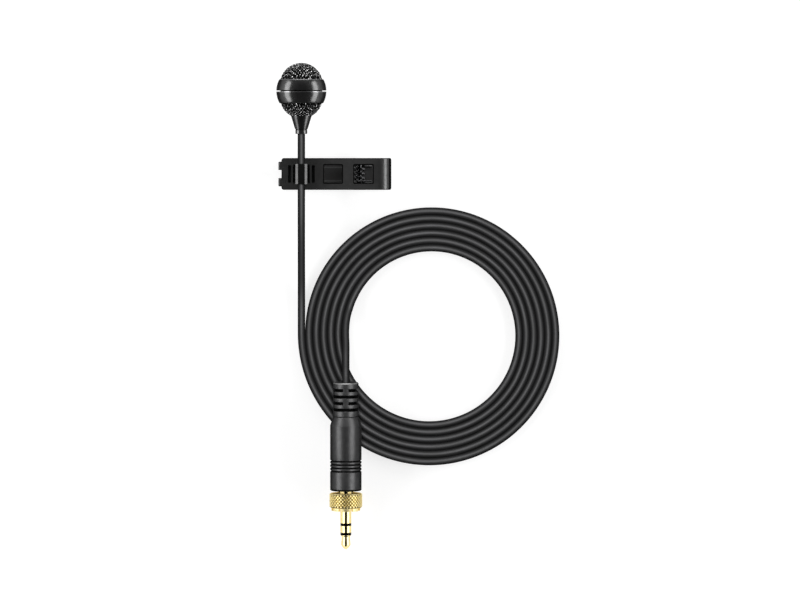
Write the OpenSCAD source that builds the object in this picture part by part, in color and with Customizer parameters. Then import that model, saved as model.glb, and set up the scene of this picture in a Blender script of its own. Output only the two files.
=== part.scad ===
// Lavalier microphone with a tie clip, a coiled cable and a screw-lock plug.
// All sizes are in millimetres. The clip's back lies on the plane z = 0, with the cable's
// axis over x = 0 and the clip's centre line on y = 0. The head points along +Y.

/* [Head rings and grilles] */
// Diameter of the ball that both clamp rings lie on
ball_d = 16.2; // [15.8:0.1:17]
// Width of the groove between the two clamp rings
groove_w = 0.42; // [0.3:0.02:0.7]
// Length of the front clamp ring, from the groove to its lip
front_ring_l = 3.6; // [3.2:0.1:4]
// Length of the rear clamp ring, from the groove to its lip
rear_ring_l = 3.8; // [3.2:0.1:4]
// Radius of the rounding on each ring's lip
lip_round = 0.4; // [0.2:0.05:0.45]
// Broken edge on each ring beside the groove
edge_break = 0.12; // [0.05:0.01:0.2]
// Wall of a clamp ring beside the grille's skirt
clamp_wall = 1.25; // [1.15:0.05:1.45]
// Wall of the grilles
grille_wall = 0.45; // [0.35:0.05:0.55]
// Distance from the groove's middle to the front dome's centre
front_dome_at = 2.15; // [1.9:0.05:2.4]
// Distance from the groove's middle to the rear dome's centre
rear_dome_at = 1.95; // [1.7:0.05:2.2]
// Diameter of the holes in the grilles
hole_d = 0.95; // [0.7:0.05:1.05]
// Distance between rows of holes, and between holes in a row
hole_pitch = 1.4; // [1.35:0.05:1.8]

/* [Neck] */
// Diameter of the neck where the rear grille sits on it
neck_top_d = 6.6; // [6.3:0.1:7]
// Diameter of the neck's taper at its small end
neck_end_d = 3.9; // [3.7:0.1:4.4]
// Length of the taper
neck_l = 4.55; // [4:0.05:6]
// Diameter of the collar at the cable's exit
collar_d = 3.76; // [3.4:0.02:3.9]
// Length of the collar
collar_l = 1.4; // [1:0.1:3]
// Diameter of the stem that goes into the spider's hub
stem_d = 5; // [4.8:0.1:5.2]
// Length of the stem
stem_l = 2.9; // [2.7:0.1:3]
// Length of the crimped cable stop
stop_l = 1.8; // [1.4:0.1:2]

/* [Capsule] */
// Wall of the barrel that carries the grilles
barrel_wall = 0.55; // [0.4:0.05:0.7]
// Length of the barrel
barrel_l = 4.8; // [4.4:0.1:4.9]
// Wall of the rubber seat round the capsule's can
seat_wall = 0.93; // [0.8:0.01:1.2]
// Length of the capsule's can
can_l = 5; // [4.6:0.1:5.4]
// Wall of the capsule's can
can_wall = 0.25; // [0.2:0.05:0.35]
// Thickness of the foam liners
foam_t = 0.6; // [0.4:0.05:0.7]
// Thickness of the circuit board
board_t = 0.6; // [0.4:0.1:0.8]
// Thickness of the backplate
backplate_t = 0.5; // [0.3:0.1:0.6]

/* [Clip] */
// Width of the front jaw
clip_w = 10.3; // [9.8:0.1:12]
// Thickness of the clip's sheet
plate_t = 0.8; // [0.7:0.05:0.9]
// Distance from the cable's axis to the front edge of both jaws
nose_l = 6.45; // [6:0.05:8]
// Distance from the cable's axis to the start of the flare
lever_l = 25.3; // [24:0.1:28]
// Inside radius of the flare on the front jaw
flare_r = 3.2; // [2.8:0.1:5]
// Angle that the flare turns through
flare_angle = 65; // [45:1:75]
// Distance from the cable's axis to the end of the rear jaw
rear_end = 27.4; // [24:0.1:28]
// Radius of the jaws' corners
corner_r = 0.8; // [0.4:0.1:1.2]
// Outside radius of the bend at each tooth tab
tab_bend = 1; // [0.9:0.05:1.2]
// Width of a tooth tab
tab_w = 2.64; // [2:0.02:2.8]
// Distance from the centre line to a tooth tab
tab_in = 1.33; // [0.8:0.01:1.4]
// Depth of the teeth
tooth_h = 0.6; // [0.4:0.05:0.8]
// Distance from the cable's axis to the hinge
hinge_x = 18.8; // [18.2:0.1:19.5]
// Height of the hinge above the clip's back
hinge_h = 3.35; // [3.1:0.05:3.5]
// Diameter of the hinge pin
hinge_pin_d = 1.5; // [1.2:0.1:1.7]
// Diameter of the round end of a hinge ear
ear_d = 3.2; // [2.8:0.1:3.4]
// Width of both windows in the front jaw
window_w = 6.4; // [5.8:0.1:6.6]
// Length of the middle window
window_l = 6.5; // [5:0.1:7]
// Distance from the cable's axis to the middle window
window_x = 7; // [6.5:0.1:7.5]
// Length of the hinge window
hinge_window_l = 6.7; // [6:0.1:7]
// Distance from the cable's axis to the hinge window
hinge_window_x = 16.8; // [16:0.1:17.2]
// Height of the pressed rib on the rear jaw
swage_h = 0.25; // [0.15:0.05:0.28]
// Width of the pressed rib
swage_w = 5.2; // [4:0.1:6]

/* [Cable keeper] */
// Thickness of the keeper's strip
keeper_t = 0.5; // [0.4:0.05:0.55]
// Width of the keeper over its two sides
keeper_over = 4.08; // [4:0.02:4.2]
// Outside radius of the keeper's shoulders
keeper_round = 1.3; // [0.9:0.05:1.5]
// Width of the keeper's arch along the cable
keeper_w = 6.8; // [6.4:0.1:7.2]
// Width of the keeper's legs, which pass through the slots
keeper_leg_w = 5.8; // [5:0.1:5.9]
// Length of the keeper's feet, outwards from its legs
keeper_foot = 1.75; // [1.4:0.05:1.9]
// Outer edge of the inner slots, from the cable's axis
slot_out = 2.85; // [2.6:0.05:2.9]
// Width of the rib between an inner and an outer slot
slot_rib = 0.35; // [0.3:0.05:0.5]
// Length of an outer slot along the jaw
outer_slot_l = 1.2; // [0.8:0.1:1.4]
// Width of the outer slots across the jaw
outer_slot_w = 5.6; // [5:0.1:6]

/* [Clip spring] */
// Diameter of the spring's wire
wire_d = 0.75; // [0.6:0.05:0.8]
// Mean diameter of the spring's coil
spring_d = 3.5; // [3.2:0.1:3.6]
// Distance between the spring's turns
spring_pitch = 1.4; // [1.3:0.05:1.45]
// Reach of the spring's legs from the hinge
spring_leg = 4; // [3:0.1:5]

/* [Cable] */
// Diameter of the cable
cable_d = 2.3; // [2.3:0.01:2.32]
// Distance between two turns of the coil
coil_pitch = 2.38; // [2.38:0.01:2.4]

/* [Plug boot and shell] */
// Length of the boot outside the shell
boot_l = 9.4; // [9:0.1:10]
// Diameter of the boot
boot_d = 8.1; // [7.6:0.1:8.3]
// Rounding of the boot's end
boot_round = 0.5; // [0.2:0.1:0.8]
// Distance from the boot's end to its first slot
boot_slot_at = 2.5; // [2:0.1:2.6]
// Distance between two slots in the boot
boot_slot_pitch = 2.12; // [1.9:0.02:2.2]
// Width of a slot in the boot
boot_slot_w = 0.7; // [0.5:0.05:0.9]
// Width of the bridges that slots leave
boot_bridge = 1.75; // [1.2:0.05:2.2]
// Diameter of the shell
shell_d = 10; // [9.8:0.1:10.4]
// Diameter of the shell where it meets the boot
shoulder_d = 8.4; // [8.4:0.1:9]
// Length of the shell's shoulder
shoulder_l = 4.6; // [4:0.1:6]
// Length of the shell
shell_l = 25.2; // [24:0.1:27]
// Wall of the shell
shell_wall = 0.85; // [0.7:0.05:0.95]
// Distance from the shell's front end to the last grip groove
grip_at = 6; // [5:0.1:8]
// Distance between grip grooves
grip_pitch = 1.1; // [0.9:0.05:1.4]
// Radius of a grip groove
grip_r = 0.28; // [0.2:0.02:0.35]

/* [Lock ring] */
// Diameter over the knurl
ring_d = 10.6; // [10.4:0.1:11]
// Length of the knurl
knurl_l = 4.7; // [4:0.1:5.5]
// Depth of the knurl
knurl_depth = 0.28; // [0.2:0.02:0.35]
// Number of ridges round the ring
knurl_count = 30; // [24:1:34]
// Diameter of the castellated rim
rim_d = 9.3; // [9:0.1:9.6]
// Length of the castellated rim
rim_l = 1; // [0.6:0.1:1.5]
// Width of the notches in the rim
notch_w = 1.3; // [0.9:0.1:1.5]
// Inside diameter of the ring, for its thread
ring_bore = 7.2; // [7:0.1:7.6]
// Gap between the shell and the lock ring
ring_gap = 1.3; // [0.9:0.1:1.8]

/* [Plug contacts] */
// Diameter of the plug's pin
pin_d = 3.5; // [3.5:0.01:3.52]
// Length of the plug's pin from its shoulder
pin_l = 14; // [13.8:0.1:14.4]
// Length of the pin's sleeve contact
sleeve_l = 5.55; // [5.3:0.05:5.8]
// Length of the pin's ring contact
contact_l = 2.4; // [2.2:0.1:2.6]
// Length of each insulating washer on the pin
washer_l = 0.65; // [0.5:0.05:0.7]
// Depth of the pin's shoulder inside the lock ring
shoulder_in = 1.4; // [1.2:0.1:1.8]
// Diameter of the sleeve's barrel, on which the lock ring turns
barrel_d = 5.1; // [5:0.1:5.3]
// Diameter of the flange that traps the lock ring
flange_d = 6.6; // [6.2:0.1:6.8]
// Thickness of the flange that traps the lock ring
flange_t = 0.8; // [0.6:0.1:1]

/* [Hidden] */
$fn = 96;

// Clearances between pieces
seat_gap = 0.05;        // pieces that nest and are bonded or pressed
snug_gap = 0.02;        // contacts and insulators of the plug
run_gap = 0.05;         // a shaft that turns in its hole
cable_gap = 0.3;        // the cable in the clip
ear_gap = 0.1;          // between the ears of the two jaws
bite_gap = 0.15;        // between the teeth of the two jaws
cut = 1;                // how far a cutting tool reaches past what it cuts

// Heights: the head lies on its rings, and the cable leaves it level
ball_r = ball_d / 2;
axis_z = ball_r;
cable_r = cable_d / 2;

// The head's axis runs along +Y. Its stations are measured from the middle of the groove.
dome_r = ball_r - clamp_wall - seat_gap;
neck_top_r = neck_top_d / 2;
stem_r = stem_d / 2;
neck_end_y = 13;
groove_edge = groove_w / 2;
neck_at = -rear_dome_at - sqrt(pow(dome_r, 2) - pow(neck_top_r, 2));
collar_at = neck_at - neck_l;
neck_end_at = collar_at - collar_l;
groove_y = neck_end_y - neck_end_at;

// Inside the head
liner_r = dome_r - grille_wall - seat_gap;
liner_in_r = liner_r - foam_t;
barrel_bore_r = liner_r - barrel_wall;
barrel_half = barrel_l / 2;
can_r = barrel_bore_r - seat_wall - snug_gap;
can_in_r = can_r - can_wall;
can_front = can_l - barrel_half;
capsule_r = can_in_r - seat_gap;
film_t = 0.1;
film_gap = 0.1;
film_ring_l = 0.45;
film_at = can_front - can_wall - snug_gap - film_ring_l;
backplate_at = film_at - film_gap - backplate_t;
board_at = seat_gap - barrel_half;
spacer_at = board_at + board_t + snug_gap;
rim_in_r = can_r + 0.2;
spider_rim_l = 1.1;
spider_hub_r = stem_r + 0.8;
spider_hub_l = 1.3;
spider_arm_w = 1.2;
hub_front = neck_at + stem_l;
hub_back = hub_front - spider_hub_l;
cable_bore_r = cable_r + seat_gap;
stop_bore_r = 1.85;
stop_depth = 1.7;
cable_end_in = 0.5;

// The clip's levels and widths
plate_top = axis_z - cable_r - cable_gap;
plate_bottom = plate_top - plate_t;
bite_z = (plate_bottom + plate_t) / 2;
rear_w = clip_w - 2 * (plate_t + ear_gap);
hinge_pin_r = hinge_pin_d / 2;
ear_r = ear_d / 2;
ear_flare = 1;
ear_root = ear_d + 2 * ear_flare;
swage_slope = 0.4;
swage_x = 4.5;
swage_gap = 0.6;
swage_end = hinge_x - ear_root / 2 - swage_gap;
teeth_per_tab = 3;
window_corner = 0.4;

// The keeper's sides and levels
keeper_side = keeper_over / 2;
keeper_in = keeper_side - keeper_t;
keeper_top = axis_z + cable_r + cable_gap + keeper_t;
inner_slot_w = keeper_leg_w + 0.35;
inner_slot_gap = 0.14;
foot_top = plate_bottom - seat_gap;
foot_bottom = foot_top - keeper_t;

// The spring: three and a half turns round the hinge pin, with both legs towards the levers
spring_turns = 3.5;
spring_rings = 8;
spring_r = spring_d / 2;
wire_r = wire_d / 2;
leg_high = plate_bottom - wire_r - seat_gap;
leg_low = plate_t + wire_r + seat_gap;

// The cable: the lead's and the tail's points are chosen by hand, and the coil is a spiral
lead_route = [[0, 13, 8.1], [0, 9, 8.1], [0, 4, 8.1], [0, -1, 8.1], [0, -6, 8.1],
    [0, -10, 8.1], [0, -13, 8.05], [0, -16, 7.85], [0, -20, 7.1], [0, -24, 5.95],
    [0, -28, 4.6], [0, -32, 3.3], [0, -36, 2.15], [0, -40, 1.4], [0, -44, 1.15],
    [0, -47, 1.15], [0, -49.5, 1.15]];
tail_route = [[15.6, -43.5, 1.35], [14.9, -46.3, 2.15], [14.5, -49.1, 3.3],
    [14.4, -52, 4.8], [14.4, -55, 6.4], [14.4, -58, 7.7], [14.4, -61, 8.5]];
cable_z = 1.15;
coil_x = 41.8;
coil_y = -52;
coil_start_y = -49.5;
coil_rings = 24;
coil_steps = 142;
coil_side_r = 1.125;
tail_straight = 1.2;
cable_sides = 8;
cable_side_at = 180 / cable_sides;

// The plug's stations run from the boot's end towards the tip
boot_r = boot_d / 2;
boot_core_r = 2.4;
spigot_r = 3.4;
boot_lip = 1.6;
boot_flange = 1;
shell_r = shell_d / 2;
shell_bore_r = shell_r - shell_wall;
shell_end = boot_l + shell_l;
shell_round = 0.45;
grip_count = 4;
ring_r = ring_d / 2;
knurl_at = shell_end + ring_gap;
knurl_end = knurl_at + knurl_l;
rim_end = knurl_end + rim_l;
rim_notches = 8;
ring_wall = 0.9;
pin_at = rim_end - shoulder_in;
pin_r = pin_d / 2;
sleeve_end = pin_at + sleeve_l;
contact_at = sleeve_end + washer_l;
contact_end = contact_at + contact_l;
tip_at = contact_end + washer_l;
tip_end = pin_at + pin_l;
plug_barrel_r = barrel_d / 2;
flange_at = knurl_at + ring_wall + run_gap;
boss_r = plug_barrel_r + 0.05;
core_r = shell_bore_r - seat_gap;
core_in = 0.2;
core_l = 5.8;
core_end = shell_end - core_in;
core_at = core_end - core_l;
clamp_t = 0.8;
sleeve_at = core_at - clamp_t - snug_gap;
tube_step = 1.2;         // how far each inner tube stands out behind the one round it
tube_wall = 0.2;
insulator_rear_r = 1.25;
ring_tube_r = insulator_rear_r - tube_wall - snug_gap;
insulator_front_r = ring_tube_r - tube_wall - snug_gap;
rod_r = insulator_front_r - tube_wall - snug_gap;
lug_t = 0.5;
cable_in_plug = 17.5;
crimp_l = 3;
crimp_t = 0.4;

// The plug lies on its lock ring at one end and across the coil at the other
plug_x = 14.4;
boot_end_y = -67.6;
rest_at = 16.4;
rest_gap = 0.1;
plug_tilt = asin((cable_d + shell_r + rest_gap - ring_r) / (knurl_end - rest_at));
boot_end_z = ring_r * cos(plug_tilt) + knurl_end * sin(plug_tilt);
function plug_point(u) =
    [plug_x, boot_end_y - u * cos(plug_tilt), boot_end_z - u * sin(plug_tilt)];

// ---- Frames -------------------------------------------------------------------------

// The head's axis becomes +Y, with the groove at the origin of the stations.
module on_head() {
    translate([0, groove_y, axis_z])
        rotate([-90, 0, 0])
            children();
}

// The plug's axis, from the boot's end towards the tip, with local +Y upwards.
module on_plug() {
    translate([plug_x, boot_end_y, boot_end_z])
        rotate([90 + plug_tilt, 0, 0])
            children();
}

// A side view (x, z) given a width along Y, about the clip's centre line.
module across_clip(width) {
    translate([0, width / 2, 0])
        rotate([90, 0, 0])
            linear_extrude(width)
                children();
}

// A front view (y, z) given a length along X, from x0.
module along_clip(x0, length) {
    translate([x0, 0, 0])
        rotate([90, 0, 90])
            linear_extrude(length)
                children();
}

// A copy on each side of the clip's centre line.
module both_sides() {
    for (side = [0, 1])
        mirror([0, side, 0])
            children();
}

// ---- Outlines -----------------------------------------------------------------------

// Half a disc on the side of positive x, for revolving.
module half_disc(r) {
    intersection() {
        circle(r);
        translate([0, -r])
            square([r, 2 * r]);
    }
}

// A band of sheet bent to an arc of at most 120 degrees.
module arc_strip(r_in, r_out, from, to) {
    reach = 2.2 * r_out;
    middle = (from + to) / 2;
    intersection() {
        difference() {
            circle(r_out);
            circle(r_in);
        }
        polygon([[0, 0], reach * [cos(from), sin(from)], reach * [cos(middle), sin(middle)],
            reach * [cos(to), sin(to)]]);
    }
}

// A rectangle from x0 to x1, centred on y, with round corners.
module round_rect(x0, x1, width, r) {
    translate([x0 + r, -width / 2])
        square([x1 - x0 - 2 * r, width]);
    translate([x0, r - width / 2])
        square([x1 - x0, width - 2 * r]);
    for (x = [x0 + r, x1 - r], y = [r - width / 2, width / 2 - r])
        translate([x, y])
            circle(r);
}

// A revolved bar between two stations, with a bore.
module tube(from, to, r_out, r_in) {
    translate([0, 0, from])
        difference() {
            cylinder(h = to - from, r = r_out);
            translate([0, 0, -cut])
                cylinder(h = to - from + 2 * cut, r = r_in);
        }
}

// ---- Tubes that follow a route --------------------------------------------------------

function unit(v) = v / norm(v);

// The direction of a route at point i.
function heading(route, i) =
    i == 0 ? unit(route[1] - route[0])
    : i == len(route) - 1 ? unit(route[i] - route[i - 1])
    : unit(unit(route[i + 1] - route[i]) + unit(route[i] - route[i - 1]));

// One ring of points for each point of the route, square to it; ref is never along the route.
function route_rings(route, r, sides, first, ref) = [
    for (i = [0 : len(route) - 1])
        let (ahead = heading(route, i),
            right = unit(cross(ahead, ref)),
            up = cross(right, ahead))
        [for (k = [0 : sides - 1])
            let (a = first + k * 360 / sides)
            route[i] + r * (cos(a) * right + sin(a) * up)]];

// A closed solid from rings of points, in triangles.
module ring_solid(rings) {
    sides = len(rings[0]);
    last = len(rings) - 1;
    points = [for (ring = rings, p = ring) p];
    walls = [for (i = [0 : last - 1], k = [0 : sides - 1])
        let (a = i * sides + k, b = i * sides + (k + 1) % sides)
        each [[a, b, a + sides], [b, b + sides, a + sides]]];
    start = [for (k = [1 : sides - 2]) [0, k + 1, k]];
    end = [for (k = [1 : sides - 2]) last * sides * [1, 1, 1] + [0, k, k + 1]];
    polyhedron(points, concat(walls, start, end));
}

// The least distance from a ring's corners to the edges of the tube a turn further on.
function edge_distance(p, a, b) =
    let (t = max(0, min(1, (p - a) * (b - a) / ((b - a) * (b - a)))))
    norm(p - a - t * (b - a));
function least_gap(rings, per_turn) = min([
    for (i = [0 : len(rings) - per_turn - 3], j = [i + per_turn - 2 : i + per_turn + 1])
        min([for (p = rings[i], k = [0 : len(rings[0]) - 1])
            edge_distance(p, rings[j][k], rings[j + 1][k])])]);

// ---- Head ---------------------------------------------------------------------------

// A clamp ring: a zone of the ball, bored for the grille's skirt and dome.
module clamp_ring(length, dome_at) {
    lip = groove_edge + length;
    round_at = lip - lip_round;
    round_r = sqrt(pow(ball_r - lip_round, 2) - pow(round_at, 2));
    outward = [round_r, round_at] / (ball_r - lip_round);
    rotate_extrude()
        difference() {
            intersection() {
                half_disc(ball_r);
                translate([0, groove_edge])
                    square([ball_r, length]);
            }
            translate([0, dome_at])
                half_disc(dome_r + seat_gap);
            square([dome_r + seat_gap, dome_at]);
            difference() {
                polygon([[round_r, round_at], [round_r, lip + cut], [ball_r + cut, lip + cut],
                    outward * (ball_r + cut)]);
                translate([round_r, round_at])
                    circle(lip_round);
            }
            polygon([[ball_r - edge_break - cut, groove_edge - cut],
                [ball_r + cut, groove_edge - cut],
                [ball_r + cut, groove_edge + edge_break + cut]]);
        }
}

// A grille: a dome with a straight skirt down to the barrel's collar, and rows of holes
// between two angles from its pole.
module grille(skirt, first_row, last_row) {
    rows = max(1, round(dome_r * (last_row - first_row) * PI / 180 / hole_pitch));
    difference() {
        rotate_extrude()
            difference() {
                union() {
                    intersection() {
                        half_disc(dome_r);
                        square(dome_r);
                    }
                    translate([0, -skirt])
                        square([dome_r, skirt]);
                }
                half_disc(dome_r - grille_wall);
                translate([0, -skirt - cut])
                    square([dome_r - grille_wall, skirt + cut]);
            }
        for (row = [0 : rows]) {
            angle = first_row + (last_row - first_row) * row / rows;
            count = max(1, round(2 * PI * dome_r * sin(angle) / hole_pitch));
            for (k = [0 : count - 1])
                rotate([0, angle, (k + (row % 2) / 2) * 360 / count])
                    translate([0, 0, dome_r - grille_wall - hole_d / 2])
                        cylinder(h = grille_wall + hole_d, d = hole_d, $fn = 24);
        }
    }
}

// How far a row of holes keeps from the edge beside it, as an angle.
edge_angle = (hole_d / 2 + 0.2) / dome_r * 180 / PI;

module front_ring() {
    color("#1b1b1c")
        on_head()
            clamp_ring(front_ring_l, front_dome_at);
}

module rear_ring() {
    color("#1b1b1c")
        on_head()
            mirror([0, 0, 1])
                clamp_ring(rear_ring_l, rear_dome_at);
}

module front_grille() {
    lip_angle = acos((groove_edge + front_ring_l - front_dome_at) / dome_r);
    color("#2a2a2b")
        on_head()
            translate([0, 0, front_dome_at])
                grille(front_dome_at - groove_edge, 0, lip_angle - edge_angle);
}

module rear_grille() {
    lip_angle = acos((groove_edge + rear_ring_l - rear_dome_at) / dome_r);
    neck_angle = asin(neck_top_r / dome_r);
    color("#2a2a2b")
        on_head()
            difference() {
                translate([0, 0, -rear_dome_at])
                    mirror([0, 0, 1])
                        grille(rear_dome_at - groove_edge, neck_angle + edge_angle,
                            lip_angle - edge_angle);
                translate([0, 0, neck_at - dome_r])
                    cylinder(h = dome_r, r = dome_r);
                translate([0, 0, neck_at - cut])
                    cylinder(h = dome_r, r = stem_r + seat_gap);
            }
}

module capsule_barrel() {
    color("#3a3a3c")
        on_head() {
            tube(-barrel_half, barrel_half, liner_r, barrel_bore_r);
            tube(-groove_edge, groove_edge, dome_r, barrel_bore_r);
        }
}

module capsule_seat() {
    seat_back = spider_rim_l + seat_gap - barrel_half;
    bead_r = 0.25;
    color("#151515")
        on_head()
            rotate_extrude()
                difference() {
                    translate([can_r + snug_gap, seat_back])
                        square([barrel_bore_r - can_r - 2 * snug_gap, barrel_half - seat_back]);
                    for (share = [0.25, 0.5, 0.75])
                        translate([barrel_bore_r, seat_back + share * (barrel_half - seat_back)])
                            circle(bead_r);
                }
}

module capsule_can() {
    sound_hole_r = 0.45;
    sound_hole_ring = can_r / 2;
    color("#9b9ca0")
        on_head()
            difference() {
                translate([0, 0, -barrel_half])
                    cylinder(h = can_l, r = can_r);
                translate([0, 0, -barrel_half - cut])
                    cylinder(h = can_l + cut - can_wall, r = can_in_r);
                cylinder(h = can_l, r = sound_hole_r);
                for (k = [0 : 5])
                    rotate([0, 0, k * 60])
                        translate([sound_hole_ring, 0, 0])
                            cylinder(h = can_l, r = sound_hole_r);
            }
}

module capsule_diaphragm() {
    film_r = capsule_r - 0.8;
    color("#c9b26a")
        on_head() {
            translate([0, 0, film_at])
                cylinder(h = film_t, r = film_r + film_t);
            tube(film_at, film_at + film_ring_l, capsule_r, film_r);
        }
}

module capsule_backplate() {
    vent_r = 0.3;
    color("#b58a4a")
        on_head()
            difference() {
                translate([0, 0, backplate_at])
                    cylinder(h = backplate_t, r = capsule_r - film_ring_l);
                for (k = [0 : 5])
                    rotate([0, 0, k * 60 + 30])
                        translate([capsule_r / 2, 0, backplate_at - cut])
                            cylinder(h = backplate_t + 2 * cut, r = vent_r);
            }
}

module capsule_spacer() {
    color("#e8e4d8")
        on_head()
            tube(spacer_at, backplate_at - snug_gap, capsule_r, capsule_r - 2 * film_ring_l);
}

module capsule_board() {
    transistor = [1.6, 1.3, 0.7];
    color("#2f6b3a")
        on_head() {
            translate([0, 0, board_at])
                cylinder(h = board_t, r = capsule_r);
            translate([-transistor.x / 2, -transistor.y / 2, board_at + board_t / 2])
                cube(transistor);
        }
}

// A foam liner lies behind a grille and stands on the barrel's end.
module foam_liner(dome_at, opening_r) {
    difference() {
        rotate_extrude()
            translate([0, dome_at])
                difference() {
                    half_disc(liner_r);
                    half_disc(liner_in_r);
                }
        translate([0, 0, barrel_half - 2 * dome_r])
            cylinder(h = 2 * dome_r, r = dome_r);
        cylinder(h = dome_at + dome_r, r = opening_r);
    }
}

module front_foam() {
    pressure_hole_r = 0.3;
    color("#202020")
        on_head()
            foam_liner(front_dome_at, pressure_hole_r);
}

module rear_foam() {
    color("#202020")
        on_head()
            mirror([0, 0, 1])
                foam_liner(rear_dome_at, stem_r + cable_gap);
}

// The spider ties the barrel to the neck and leaves the way behind the capsule open.
module neck_spider() {
    rim_front = spider_rim_l - barrel_half;
    rim_bite = [0.2, 0.55];      // how deep an arm's two edges go into the rim
    hub_bite = 0.4;              // how deep an arm goes into the hub
    hub_ledge = 0.15;
    color("#55565a")
        on_head() {
            tube(-barrel_half, rim_front, barrel_bore_r - snug_gap, rim_in_r);
            tube(hub_back, hub_front, spider_hub_r, stem_r + snug_gap);
            for (k = [0 : 2])
                rotate([90, 0, k * 120 + 90])
                    translate([0, 0, -spider_arm_w / 2])
                        linear_extrude(spider_arm_w)
                            polygon([[rim_in_r + rim_bite[0], hub_ledge + rim_bite[0] - barrel_half],
                                [stem_r + hub_bite, hub_front - hub_ledge],
                                [stem_r + hub_bite, hub_back + hub_ledge],
                                [rim_in_r + rim_bite[1], hub_ledge - barrel_half]]);
        }
}

module neck() {
    stop_at = neck_at - stop_depth;
    end_break = 0.2;
    collar_r = collar_d / 2;
    color("#1b1b1c")
        on_head()
            rotate_extrude()
                polygon([[stop_bore_r, hub_front], [stem_r, hub_front], [stem_r, neck_at],
                    [neck_top_r, neck_at], [neck_end_d / 2, collar_at], [collar_r, collar_at],
                    [collar_r, neck_end_at + end_break], [collar_r - end_break, neck_end_at],
                    [cable_bore_r, neck_end_at], [cable_bore_r, stop_at],
                    [stop_bore_r, stop_at]]);
}

module cable_stop() {
    stop_back = neck_at - stop_depth + seat_gap;
    color("#b9bbc0")
        on_head()
            tube(stop_back, stop_back + stop_l, stop_bore_r - seat_gap, cable_r + snug_gap);
}

module cable_head_end() {
    color("#1d1d1e")
        on_head()
            translate([0, 0, neck_end_at])
                cylinder(h = neck_at + cable_end_in - neck_end_at, r = cable_r);
}

module head_wires() {
    wire_at = neck_at + cable_end_in;
    wire_r = 0.3;
    color("#a33327")
        on_head()
            for (side = [-1, 1])
                translate([side * 0.5, 0, wire_at])
                    cylinder(h = board_at - wire_at, r = wire_r, $fn = 24);
}

// ---- Clip ---------------------------------------------------------------------------

// The outline of a row of teeth on one tab, as points from the tab's inner side outwards.
function teeth(z) = [for (i = [0 : 2 * teeth_per_tab])
    [tab_in + i * tab_w / teeth_per_tab / 2, z + (i % 2 == 0 ? 0.5 : -0.5) * tooth_h]];

// A hinge ear: a root on the plate that narrows to a round end with a bore.
module ear(root_z, bore_r) {
    difference() {
        union() {
            polygon([[hinge_x - ear_root / 2, root_z], [hinge_x + ear_root / 2, root_z],
                [hinge_x + ear_r, hinge_h], [hinge_x - ear_r, hinge_h]]);
            translate([hinge_x, hinge_h])
                circle(ear_r);
        }
        translate([hinge_x, hinge_h])
            circle(bore_r);
    }
}

// Ears on both sides, with their outer faces width apart.
module ears(width, root_z, bore_r) {
    both_sides()
        translate([0, width / 2 - plate_t / 2, 0])
            across_clip(plate_t)
                ear(root_z, bore_r);
}

// A slot or window through the front jaw.
module jaw_cut(x0, x1, width, r) {
    translate([0, 0, plate_bottom - cut])
        linear_extrude(plate_t + 2 * cut)
            round_rect(x0, x1, width, r);
}

module front_jaw() {
    flare_out = flare_r + plate_t;
    jaw_end = lever_l + flare_out * sin(flare_angle);
    inner_slot_in = keeper_in - inner_slot_gap;
    outer_slot_in = slot_out + slot_rib;
    slot_corner = 0.2;
    color("#2b2b2c")
        difference() {
            union() {
                intersection() {
                    across_clip(clip_w) {
                        translate([-nose_l, plate_bottom])
                            square([nose_l + lever_l, plate_t]);
                        translate([lever_l, plate_top + flare_r])
                            arc_strip(flare_r, flare_out, -90, flare_angle - 90);
                    }
                    linear_extrude(plate_top + flare_out + cut)
                        round_rect(-nose_l, jaw_end + cut / 4, clip_w, corner_r);
                }
                both_sides()
                    intersection() {
                        across_clip(clip_w) {
                            translate([-nose_l, plate_top - tab_bend])
                                arc_strip(tab_bend - plate_t, tab_bend, 90, 180);
                            translate([-nose_l - tab_bend, 0])
                                square([plate_t, plate_top - tab_bend]);
                        }
                        along_clip(-nose_l - tab_bend - cut, tab_bend + 2 * cut)
                            polygon(concat(teeth(bite_z + bite_gap / 2),
                                [[tab_in + tab_w, plate_top], [tab_in, plate_top]]));
                    }
                ears(clip_w, plate_bottom + plate_t / 2, hinge_pin_r + snug_gap);
            }
            jaw_cut(window_x, window_x + window_l, window_w, window_corner);
            jaw_cut(hinge_window_x, hinge_window_x + hinge_window_l, window_w, window_corner);
            for (side = [0, 1])
                mirror([side, 0, 0]) {
                    jaw_cut(inner_slot_in, slot_out, inner_slot_w, slot_corner);
                    jaw_cut(outer_slot_in, outer_slot_in + outer_slot_l, outer_slot_w,
                        slot_corner);
                }
        }
}

// The outline of the rear jaw's rib, in side view and in front view, at one face of the sheet.
module swage(base, drop) {
    half = swage_w / 2 - drop;
    intersection() {
        across_clip(rear_w)
            polygon([[swage_x + drop, base], [swage_x + drop + swage_slope, base + swage_h],
                [swage_end - drop - swage_slope, base + swage_h], [swage_end - drop, base]]);
        along_clip(swage_x, swage_end - swage_x)
            polygon([[-half, base], [swage_slope - half, base + swage_h],
                [half - swage_slope, base + swage_h], [half, base]]);
    }
}

module rear_jaw() {
    color("#2b2b2c")
        difference() {
            union() {
                linear_extrude(plate_t)
                    round_rect(-nose_l, rear_end, rear_w, corner_r);
                swage(plate_t, 0);
                both_sides()
                    intersection() {
                        across_clip(rear_w) {
                            translate([-nose_l, tab_bend])
                                arc_strip(tab_bend - plate_t, tab_bend, 180, 270);
                            translate([-nose_l - tab_bend, tab_bend])
                                square([plate_t, bite_z]);
                        }
                        along_clip(-nose_l - tab_bend - cut, tab_bend + 2 * cut)
                            polygon(concat(teeth(bite_z - bite_gap / 2),
                                [[tab_in + tab_w, 0], [tab_in, 0]]));
                    }
                ears(rear_w, plate_t / 2, hinge_pin_r + run_gap);
            }
            swage(0, swage_h / 2);
        }
}

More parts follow.
